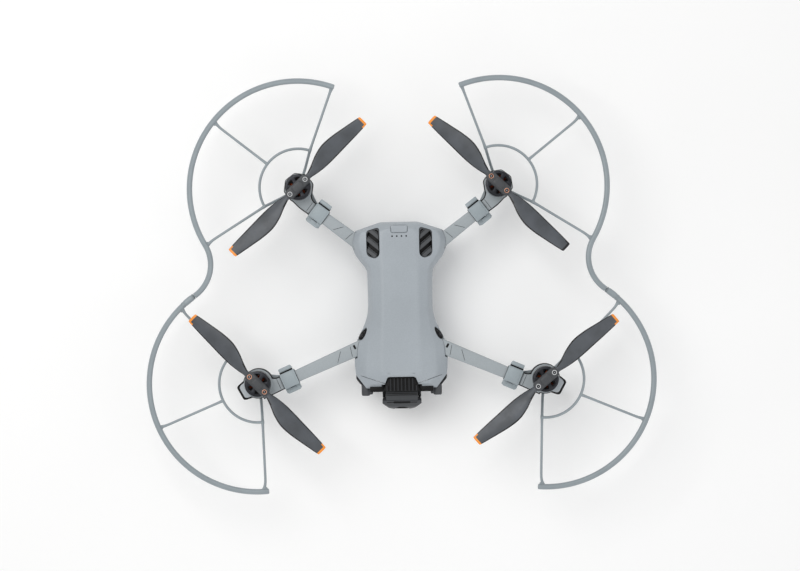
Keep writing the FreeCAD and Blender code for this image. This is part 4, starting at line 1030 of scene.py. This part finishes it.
def make_guard(end, name, side):
    motor, clip, spokes = MOTORS[end], CLIPS[end], SPOKES[end]
    ring = FRONT_RING if end == "front" else REAR_RING
    b = Builder()
    make_rim(b, end, spokes)
    for k, spoke in enumerate(spokes):
        path, radii = spoke_path(motor, ring, spoke, k != 1)
        b.tube(path, radii, 14)
        b.lathe([(r, HOOP_Z + z) for r, z in ((0.01, -1.2), (0.9, -1.2), (1.4, -0.4), (1.4, 1.2), (0.9, 2.0),
                                              (0.01, 2.0))], polar(ring, GUARD_RADIUS - 2.2, spoke[1]), 20)
    hoop = rim_shape(1.05, 1.22, 20, groove=0.0, power=2.2)
    rim_arc(b, motor, INNER_RADIUS, spokes[0][0], spokes[2][0], hoop, HOOP_Z)
    # the tray under the arm, from the clip to the motor
    b.place = place = arm_place(end)
    reach = math.radians(heading(clip, motor) - heading(HINGES[end], clip))
    far = (Vector(motor) - Vector(clip)).length
    u, v = far * math.cos(reach), far * math.sin(reach)
    tray = [(-STRAP_HALF, -5.9), (STRAP_HALF, -5.9), (u, v - 9.0), (u + 6, v - 3.0), (u + 6, v + 3.0),
            (u, v + 9.2), (STRAP_HALF, 5.9), (-STRAP_HALF, 5.9)]
    b.slab(filleted(tray, [1, 3, 2, 2, 2, 2, 3, 1], 4), 33.25, 35.2, 0.5, 3)
    for y in (-5.45, 5.45):
        b.bar(2 * STRAP_HALF, 1.05, 33.4, BED_TOP, 0.4, 0.3, at=(0, y))
    b.bar(4.3, 3.4, PIN_Z - 3.4, PIN_Z - 0.2, 0.5, 0.3, at=(0, -6.6))
    b.place = place @ centred(0, -PIN_OUT, PIN_Z) @ AXIS_X @ turned(90)
    b.lathe(knuckle(2.2), count=28)
    b.place = HOME
    b.slab(circle(motor, 9.5, 48), 33.25, 35.35, 0.5, 3)
    obj = b.object(f"{end}_{name}_guard_frame", [GUARD], mirror=side < 0)
    settle(obj, "airframe", [f"{end}_{name}_guard"])


def make_strap(end, name, side):
    """The hinged clip plate over an arm, with its barrels, finger grip and latch lip."""
    b = Builder()
    b.place = place = arm_place(end)
    h, top = STRAP_HALF, ARM_TOP
    b.slab(filleted(rect(-h, h, -5.9, 6.4), 0.8, 4), top + 0.42, top + 1.62, 0.45, 4)
    b.slab(filleted(rect(-h + 1.5, h - 1.5, -5.2, 5.6), 0.5, 3), top + 1.0, top + 1.78, 0.2, 2)
    # thin black bars along both sides of the plate: painted shadow on the arm beside the strap
    for x in (-h - 0.1, h + 0.1):
        b.bar(0.3, 11.6, top + 0.42, top + 1.1, 0.1, 0.0, 1, at=(x, 0.2))
    for y, wide in ((-5.45, 1.1), (6.05, 0.8)):
        b.bar(2 * h, wide, BED_TOP + 0.55, top + 1.0, 0.35, 0.25, at=(0, y))
    wide = h - 2.6
    for x in (-(h + 2.5) / 2, (h + 2.5) / 2):
        b.place = place @ centred(x, -PIN_OUT, PIN_Z) @ AXIS_X @ turned(90)
        b.lathe(knuckle(wide / 2), count=28)
        b.place = place
        b.bar(wide, 3.4, PIN_Z + 0.9, PIN_Z + 3.2, 0.4, 0.35, at=(x, -6.9))
    grip = filleted(rect(-h + 0.8, h - 0.8, -10.4, -6.2), [1.1, 1.1, 0.2, 0.2], 4)
    b.slab(grip, PIN_Z + 1.75, PIN_Z + 2.8, 0.4, 4)
    b.slab(filleted(rect(-5.3, 5.3, 7.6, 9.2), 0.4, 3), 36.9, top + 1.1, 0.4, 3)
    b.slab(filleted(rect(-5.3, 5.3, 7.7, 10.8), [0.3, 0.3, 1.0, 1.0], 4), top - 0.35, top + 1.15, 0.4, 3)
    b.bar(8.8, 1.7, 41.3, 42.5, 0.3, 0.2, at=(0, 7.0))
    b.bar(11.0, 1.2, 43.2, top + 0.5, 0.2, 0.1, 1, at=(0, 7.0))
    obj = b.object(f"{end}_{name}_clip", [STRAP, BLACK], mirror=side < 0)
    settle(obj, f"{end}_{name}_strap", [f"{end}_{name}_strap"])


# ------------------------------------------------------------------ motors and propellers
RINGS = {"front_left": WHITE_RING, "rear_right": WHITE_RING, "front_right": COPPER_RING,
         "rear_left": COPPER_RING}
# each propeller's heading, and 1 or -1 for the way it turns
TURNS = {"front_left": (40.0, 1), "front_right": (133.9, -1), "rear_left": (136.0, -1),
         "rear_right": (43.8, 1)}
BELL_RADIUS, BELL_HEIGHT = 10.2, 10.4
PIVOT = 8.3
TEETH = 9


def make_stator(name, at):
    top = POD_TOP
    b = Builder()
    b.lathe([(1.6, top + 0.02), (8.5, top + 0.02), (8.6, top + 0.12), (8.6, top + 0.3), (8.2, top + 0.75),
             (3.2, top + 0.75), (3.0, top + 1.2), (3.0, BELL_TOP - 2.4), (2.8, BELL_TOP - 2.2),
             (1.6, BELL_TOP - 2.2), (1.6, top + 0.02)], at, 48)
    for i in range(TEETH):
        b.place = standing(at, 360 * i / TEETH)
        b.bar(5.2, 1.6, 49.4, 54.4, 0.2, 0.1, at=(5.0, 0))
        b.slab([(7.45, -2.0), (8.05, -1.9), (8.1, 0), (8.05, 1.9), (7.45, 2.0), (7.6, 0)], 49.45, 54.35, 0.05)
        rings = []
        for k in range(29):
            swell = 0.14 * abs(math.sin(math.pi * k / 28 * 7))
            wide, tall = 1.1 + swell, 2.75 + swell
            loop = filleted(rect(-wide, wide, -tall, tall), 0.7, 3)
            rings.append([(3.85 + 3.1 * k / 28, a, 51.9 + c) for a, c in loop])
        b.loft(rings, 1)
    settle(b.object(f"{name}_stator_wound", [IRON, COPPER]), "airframe", [f"{name}_stator"])


def make_bell(name, at):
    b = Builder()
    z0, z1 = BELL_TOP - BELL_HEIGHT, BELL_TOP
    r = BELL_RADIUS
    wall = [(-1.5, z0), (-0.2, z0), (-0.02, z0 + 0.2), (-0.02, z0 + 1.4), (-0.22, z0 + 1.55),
            (-0.22, z0 + 1.85),
            (-0.02, z0 + 2.0), (-0.02, z1 - 1.9), (-0.2, z1 - 1.8), (-0.2, z1 - 1.5), (-0.04, z1 - 1.4),
            (-0.1, z1 - 0.7), (-0.35, z1 - 0.25), (-0.8, z1 - 0.04)]
    b.lathe([(r + x, z) for x, z in wall] + [(8.1, z1 - 0.04), (8.0, z1 - 0.2), (8.0, z1 - 1.3),
                                             (r - 1.5, z1 - 1.5), (r - 1.5, z0)], at, 72)
    b.lathe([(0.01, z1 - 1.5), (4.2, z1 - 1.5), (4.4, z1 - 1.2), (4.4, z1 - 0.3), (4.1, z1 - 0.02),
             (0.01, z1 - 0.02)], at, 48)
    b.lathe([(0.01, POD_TOP + 0.1), (1.3, POD_TOP + 0.1), (1.5, POD_TOP + 0.4), (1.5, z1 - 0.6),
             (0.01, z1 - 0.6)],
            at, 24, mat=1)
    half = [(3.6, 1.9), (5.6, 1.15), (8.6, 2.3)]
    blade = filleted([(x, -y) for x, y in half] + half[::-1], 1.0, 4)
    for i in range(6):
        b.place = standing(at, 60 * i)
        b.slab(blade, z1 - 1.35, z1 - 0.06, 0.25, 3)
    for i in range(14):
        b.place = standing(at, 360 / 14 * i)
        b.bar(0.5, 3.0, z0 + 1.0, z0 + 7.6, 0.15, 0.1, 1, at=(r - 1.55, 0))
    settle(b.object(f"{name}_bell_can", [BELL, BELL_RIM]), f"{name}_rotor", [f"{name}_bell"])


def make_hub(name, at, turn):
    """The clamp over both blade roots, its cap and rings, and the two screws through it."""
    z = BLADE_Z
    clamp, screws = Builder(), Builder()
    clamp.place = screws.place = standing(at, turn)
    clamp.slab(rounded_rect(2 * PIVOT + 6.3, 8.3, 3.6, 8), BELL_TOP, z - 1.38, 0.3, 3)
    clamp.slab(rounded_rect(2 * PIVOT + 5.9, 7.5, 3.4, 8), z + 1.37, z + 2.08, 0.3, 3)
    clamp.loft([[(x, y, h) for x, y in rounded_rect(wide, deep, min(wide, deep) * 0.34, 6)] for wide, deep,
                h in (
        (8.2, 6.8, BELL_TOP), (8.2, 6.8, z + 1.9), (9.4, 6.4, z + 2.06), (9.3, 6.3, z + 2.5),
        (8.4, 5.4, z + 2.85), (5.4, 3.4, z + 2.96), (2.0, 1.2, z + 2.98))])
    ring = [(1.35, 1.9), (1.95, 1.9), (1.95, 2.45), (1.85, 2.62), (1.5, 2.62), (1.35, 2.45), (1.35, 1.9)]
    head = [(0.95, 2.1), (1.15, 2.2), (1.25, 2.4), (1.2, 2.7), (1.0, 2.85), (0.62, 2.85), (0.55, 2.4),
            (0.01, 2.38)]
    for x in (-PIVOT, PIVOT):
        clamp.lathe([(r, z + up) for r, up in ring], (x, 0), 32, mat=1)
        screws.lathe([(0.01, BELL_TOP + 0.1), (0.95, BELL_TOP + 0.1)] + [(r, z + up) for r, up in head],
                     (x, 0), 32, mat=1)
        screws.slab(circle((x, 0), 0.5, 6), z + 2.3, z + 2.5, 0.02)
    settle(clamp.object(f"{name}_prop_clamp", [MID_DARK, RINGS[name]]), f"{name}_rotor",
           [f"{name}_hub"])
    settle(screws.object(f"{name}_clamp_screws", [STEEL, BELL]), f"{name}_rotor", [f"{name}_screws"])


BLADE_SECTIONS = [      # radius, lead, trail, pitch in degrees, thickness
    (13.0, 2.5, 2.4, 18.0, 1.9), (19.0, 4.8, 3.7, 21.0, 1.7), (27.0, 8.2, 4.6, 19.0, 1.5),
    (36.0, 10.2, 4.7, 16.0, 1.3), (46.0, 9.7, 4.4, 13.0, 1.1), (57.0, 7.8, 4.1, 10.5, 0.95),
    (67.0, 5.9, 3.7, 9.0, 0.85), (73.2, 4.6, 3.3, 8.0, 0.8),
]
BLADE_ROOT, BLADE_END = 13.0, 72.6      # between these radii a blade follows its sections


def blade_at(radius):
    """Lead, trail, pitch and thickness at any radius, by a smooth curve through the table."""
    rows = BLADE_SECTIONS
    i = next((i for i in range(len(rows) - 2) if radius <= rows[i + 1][0]), len(rows) - 2)
    p0, p1, p2, p3 = rows[max(i - 1, 0)], rows[i], rows[i + 1], rows[min(i + 2, len(rows) - 1)]
    step = p2[0] - p1[0]
    t = (radius - p1[0]) / step
    h = (2 * t ** 3 - 3 * t ** 2 + 1, t ** 3 - 2 * t ** 2 + t, -2 * t ** 3 + 3 * t ** 2, t ** 3 - t ** 2)
    return [h[0] * p1[k] + h[1] * (p2[k] - p0[k]) / (p2[0] - p0[0]) * step + h[2] * p2[k]
            + h[3] * (p3[k] - p1[k]) / (p3[0] - p1[0]) * step for k in range(1, 5)]


def wing_section(lead, trail, pitch, thick, hand, count=13):
    """Thin cambered section from the leading edge round to the trailing edge and back."""
    a = math.radians(pitch)
    points = []
    for face in (1, -1):
        for k in range(count):
            t = k / (count - 1) if face == 1 else 1 - k / (count - 1)
            if face == -1 and k in (0, count - 1):
                continue
            y = lead + (-trail - lead) * (1 - math.cos(math.pi * t)) / 2
            s = (lead - y) / (lead + trail)
            camber = 0.35 * thick * math.sin(math.pi * s)
            half = thick * 0.42 * (math.sin(math.pi * min(1, s ** 0.7))) ** 0.7 + 0.04
            z = camber + face * half
            points.append((hand * (y * math.cos(a) - z * math.sin(a)), z * math.cos(a) + y * math.sin(a)))
    return points


def make_blade(name, which, at, turn, hand, tip_in_light=True):
    b = Builder()
    b.place = place = centred(*at, BLADE_Z) @ turned(turn)
    rings = []
    for i in range(47):
        r = BLADE_ROOT + (BLADE_END - BLADE_ROOT) * i / 46
        rings.append([(r, y, z) for y, z in wing_section(*blade_at(r), hand)])
    # the rounded tip
    lead, trail, pitch, thick = blade_at(BLADE_END)
    for k, r in ((0.94, 72.85), (0.8, 73.05), (0.55, 73.15)):
        shift = (lead - trail) / 2 * (1 - k)
        ring = wing_section(lead * k, trail * k, pitch, thick * (0.5 + k / 2), hand)
        rings.append([(r, y + hand * shift * 0.6, z) for y, z in ring])
    root = [[(r, y, z - 0.25) for y, z in wing_section(half, half, tilt, thick, hand)] for r, half, thick,
            tilt in (
        (PIVOT + 0.4, 2.55, 2.2, 0), (PIVOT + 2.0, 2.5, 2.2, 3), (11.6, 2.35, 1.9, 10))]
    b.loft(root + rings)
    b.lathe([(1.1, -1.22), (2.9, -1.22), (3.15, -1.0), (3.15, 1.0), (2.9, 1.22), (1.1, 1.22), (1.1, -1.22)],
            (PIVOT, 0), 40)
    # a tip out of the light gets painted shade in place of its orange
    paints = [BLADE, BLADE_PAINTED_SHADE, ORANGE if tip_in_light else BLADE_PAINTED_SHADE]
    obj = b.object(f"{name}_wing_{which}", paints, sharp=math.radians(50))
    # paint the tip and a short part of the straight side orange (painted shade on a tip out of the light),
    # and the two thin edges dark as painted shade
    to_blade = place.inverted()
    for poly in obj.data.polygons:
        c = to_blade @ (poly.center / MM)
        if c.x < BLADE_ROOT:
            continue
        lead, trail, pitch, thick = blade_at(min(c.x, BLADE_END))
        a = math.radians(pitch)
        across = hand * c.y * math.cos(a) + c.z * math.sin(a)
        if c.x > 71.4 or (c.x > 68.6 and across < 1.4 - trail):
            poly.material_index = 2
        elif across > lead - 0.9 or across < 0.8 - trail:
            poly.material_index = 1
    settle(obj, f"{name}_blade_{which}", [f"{name}_blade_{which}"])


def make_rotor(name):
    at = joint_at(f"{name}_spin")[:2]
    turn, hand = TURNS[name]
    make_stator(name, at)
    make_bell(name, at)
    make_hub(name, at, turn)
    make_blade(name, "a", at, turn, hand)
    # the rear left's second blade has painted shade over its tip, where the real tip is orange
    make_blade(name, "b", at, turn + 180, hand, tip_in_light=name != "rear_left")


# ------------------------------------------------------------------ gimbal camera
ROLL_AXIS = centred(0, 0, GIMBAL_Z) @ AXIS_Y        # local z is the lens's own line
DRUM_RADIUS = 10.95
CAMERA_FRONT = [    # distance forward, half width, top and bottom of the housing's front at each step
    (-91.3, 14.9, 9.4, -9.6), (-91.7, 15.4, 10.2, -10.4), (-92.6, 15.55, 10.9, -10.9),
    (-94.6, 15.5, 10.1, -10.9),
    (-95.2, 15.1, 9.7, -10.8), (-97.4, 12.2, 7.6, -10.3), (-98.5, 10.7, 5.0, -9.4), (-99.0, 9.2, 3.9, -8.8),
    (-99.35, 7.4, 3.0, -8.2),
]


def make_gimbal_mount():
    z = span("gimbal_mount")[1][2]
    half = [(10.3, -73.9), (11.3, -76.0), (14.6, -84.7)]
    cover = [(-x, y) for x, y in half] + half[::-1]
    b = Builder()
    b.slab(filleted(cover, [0.8, 2, 1.0, 1.0, 2, 0.8], 4), z - 2.6, z - 1.5, 0.3)
    for k in range(9):
        x = -11.6 + 2.9 * k
        reach = -74.3 if abs(x) < 9.8 else -74.3 - (abs(x) - 9.8) / 3.2 * 10.4
        length = reach + 84.3
        if length > 1.5:
            b.bar(1.2, length, z - 1.8, z - 0.04, 0.5, 0.4, 1, at=(x, (reach - 84.3) / 2))
    b.slab(filleted(rect(-13.9, 13.9, -74.1, -60.6), 1.2, 4), z - 2.6, z - 1.42, 0.3)
    b.lathe([(2.1, z - 6.8), (6.1, z - 6.8), (6.4, z - 6.5), (6.4, z - 2.5), (2.1, z - 2.5), (2.1, z - 6.8)],
            (0, YAW_Y), 48, mat=2)
    settle(b.object("gimbal_cover", [BLACK, DARK, MID_DARK]), "airframe", ["gimbal_mount"])
    low, high = (corner[2] for corner in span("gimbal_dampers"))
    ball = [(0.01, low), (1.85, low), (1.85, low + 0.5), (1.1, low + 0.75), (1.35, low + 1.2),
            (1.1, high - 0.75), (1.85, high - 0.5), (1.85, high), (0.01, high)]
    balls = Builder()
    for side in SIDES.values():
        for x, y in ((11.2, -70.0), (11.2, -62.8)):
            balls.lathe(ball, (side * x, y), 28)
    settle(balls.object("damper_balls", [RUBBER]), "airframe", ["gimbal_dampers"])


def make_yaw_arm():
    b = Builder()
    b.lathe([(0.01, 42.5), (6.2, 42.5), (6.55, 42.9), (6.55, 45.0), (6.2, 45.35), (2.0, 45.35), (2.0, 48.4),
             (1.8, 48.55), (0.01, 48.55)], (0, YAW_Y), 48)
    b.slab(filleted(rect(-4.1, 4.1, -69.3, -65.3), 1.4, 5), GIMBAL_Z - 2.8, 43.4, 0.6, 4)
    b.place = ROLL_AXIS
    b.lathe([(2.08, -69.8), (6.9, -69.8), (7.35, -69.3), (7.35, -65.6), (6.9, -65.1), (1.0, -65.1),
             (1.0, -66.1), (2.08, -66.1), (2.08, -69.8)], count=56)
    settle(b.object("yaw_bracket", [DARK]), "gimbal_yaw", ["gimbal_yaw_arm"])


def make_roll_arm():
    b = Builder()
    b.place = ROLL_AXIS
    b.lathe([(0.01, -73.3), (6.6, -73.3), (6.95, -72.9), (6.95, -70.7), (6.6, -70.3), (2.0, -70.3),
             (2.0, -66.8), (1.8, -66.65), (0.01, -66.65)], count=56)
    b.place = HOME
    b.slab(filleted(rect(-15.2, 15.2, -74.5, -72.5), [0.4, 0.4, 1.2, 1.2], 4), GIMBAL_Z - 4.3, GIMBAL_Z + 4.3,
           0.8, 4)
    cheek = [(-73.0, GIMBAL_Z - 4.3), (-73.0, GIMBAL_Z + 4.3)]
    cheek += [polar((PITCH_Y, GIMBAL_Z), 4.35, 90 + 180 * i / 14) for i in range(15)]
    for side in SIDES.values():
        b.place = flipped(side) @ AXIS_X
        b.slab(cheek, 13.25, 15.25, 0.5, 3)
    settle(b.object("roll_fork", [DARK]), "gimbal_roll", ["gimbal_roll_arm"])


def make_camera_drum():
    z = GIMBAL_Z
    b = Builder()
    b.place = AXIS_X
    drum = [polar((PITCH_Y, z), DRUM_RADIUS, a) for a in range(-80, 81, 8)]
    drum += [(-92.4, z + DRUM_RADIUS), (-92.4, z - DRUM_RADIUS)]
    b.slab(filleted(drum, 0.8, 2), -12.75, 12.75, 0.8, 4)
    b.tube([(PITCH_Y, z, -15.0), (PITCH_Y, z, 15.0)], 1.95, 28)
    b.tube([(PITCH_Y, z, -13.14), (PITCH_Y, z, 13.14)], 10.4, 48, mat=1)
    b.place = HOME
    for k in range(3):
        b.bar(24.6, 0.5, z + 10.6, z + 10.97, 0.1, 0.02, 1, at=(0, -88.2 + 1.25 * k))
    back = [(-15.2, -91.6), (15.2, -91.6), (14.9, -90.5), (-14.9, -90.5)]
    b.slab(filleted(back, 0.4, 3), z - 9.4, z + 9.2, 0.4, 3, mat=2)
    settle(b.object("camera_drum", [MID_DARK, BLACK, DARK]), "camera", ["camera_body"])


def make_camera_front():
    b = Builder()
    rings = []
    for y, half, top, low in CAMERA_FRONT:
        rings.append([(x, y, GIMBAL_Z + h) for x, h in filleted(rect(-half, half, low, top), 2.2, 6)])
    b.loft(rings)
    front = b.object("camera_front", [CAMERA_GREY])
    well = Builder()
    well.place = ROLL_AXIS
    well.lathe(rect(0.01, 6.55, -105, -96.4), count=56)
    carve(front, scratch(well))
    soften(front, math.radians(24))
    settle(front, "camera")
    slot = Builder()
    slot.place = centred(0, -94.0, GIMBAL_Z + 10.40) @ turned(20, "X")
    slot.slab(rounded_rect(13.4, 1.7, 0.7, 5), -0.6, 0.06, 0.05, 2)
    slot.slab(rounded_rect(24.0, 0.5, 0.2, 3), -0.6, 0.02, 0.02, 1)
    settle(slot.object("camera_slot", [BLACK]), "camera")


def make_lens():
    barrel, glass = Builder(), Builder()
    barrel.place = glass.place = ROLL_AXIS
    barrel.lathe([(5.4, -99.05), (6.2, -99.05), (6.4, -98.8), (6.4, -96.5), (3.4, -96.5), (3.4, -97.6),
                  (4.2, -97.9), (4.3, -98.2), (4.9, -98.4), (5.0, -98.7), (5.4, -99.05)], count=64)
    glass.lathe([(0.01, -97.0), (3.9, -97.0), (3.9, -97.85), (3.2, -98.05), (2.0, -98.16), (0.01, -98.2)],
                count=56)
    settle(barrel.object("lens_barrel", [BLACK]), "camera", ["camera_lens"])
    settle(glass.object("lens_element", [LENS]), "camera")


def finish_inside():
    """The board and fan keep their frame shapes, which nothing outside shows closely."""
    for node, mat in (("main_board", BOARD), ("cooling_fan", DARK)):
        obj = frame["nodes"][node]
        obj.data.materials.clear()
        obj.data.materials.append(mat)


for make in (make_hood, make_belly, make_vents, make_nose, make_front_sensors, make_shoulder_sensors,
             make_lights_and_button, make_battery, make_belly_sensors, make_pins_and_feet):
    make()
for side_name, side_sign in SIDES.items():
    for arm_end in ("front", "rear"):
        for make in (make_arm, make_guard, make_strap):
            make(arm_end, side_name, side_sign)
for rotor_name in TURNS:
    make_rotor(rotor_name)
for make in (make_gimbal_mount, make_yaw_arm, make_roll_arm, make_camera_drum, make_camera_front, make_lens,
             finish_inside):
    make()

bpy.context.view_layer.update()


# ------------------------------------------------------------------ stage, light and camera
def make_stage():
    b = Builder()
    b.slab(rounded_rect(6000, 6000, 100), -40, 0.0, 0.0)
    floor = b.object("floor", [])
    n = Nodes("pale_floor")
    n.plug(Base_Color=n.mix(n.patchy(3.0, 0.0, 1.0), srgb(246, 246, 246), srgb(250, 250, 250)),
           Roughness=n.patchy(8.0, 0.75, 0.85), Specular_IOR_Level=0.1)
    floor.data.materials.append(n.mat)
    world = bpy.data.worlds.new("studio")
    bpy.context.scene.world = world
    world.use_nodes = True
    sky = world.node_tree.nodes["Background"].inputs
    sky["Color"].default_value, sky["Strength"].default_value = (1.0, 1.0, 1.0, 1.0), 0.66
    for name, at, size, power, tint in (
            ("key", (-0.5, 0.45, 1.2), 0.9, 7.6, (1.0, 0.995, 0.98)),
            ("fill", (0.8, -0.5, 1.1), 1.1, 2.4, (0.96, 0.98, 1.0)),
            ("low", (0.1, -1.3, 0.5), 0.8, 1.6, (1.0, 1.0, 1.0))):
        lamp = bpy.data.lights.new(name, "AREA")
        lamp.size, lamp.energy, lamp.color = size, power, tint
        obj = bpy.data.objects.new(name, lamp)
        obj.location = at
        obj.rotation_euler = (Vector((0, 0, 0.03)) - Vector(at)).to_track_quat("-Z", "Y").to_euler()
        bpy.context.scene.collection.objects.link(obj)


def make_camera():
    """Looks straight down from far enough for almost parallel lines."""
    height, aim_z = 1.9, 0.055
    view_width = 628 * MM       # what the picture's width covers at the height of the blades
    cam = bpy.data.cameras.new("camera")
    cam.sensor_width = 36.0
    cam.lens = cam.sensor_width * (height - aim_z) / view_width
    obj = bpy.data.objects.new("camera", cam)
    obj.location = (0.0, -0.0016, height)
    obj.rotation_euler = (0.0, 0.0, math.radians(-1.0))
    cam.clip_start, cam.clip_end = 0.05, 20.0
    bpy.context.scene.collection.objects.link(obj)
    bpy.context.scene.camera = obj


make_stage()
make_camera()
bpy.context.scene.view_settings.view_transform = "Standard"
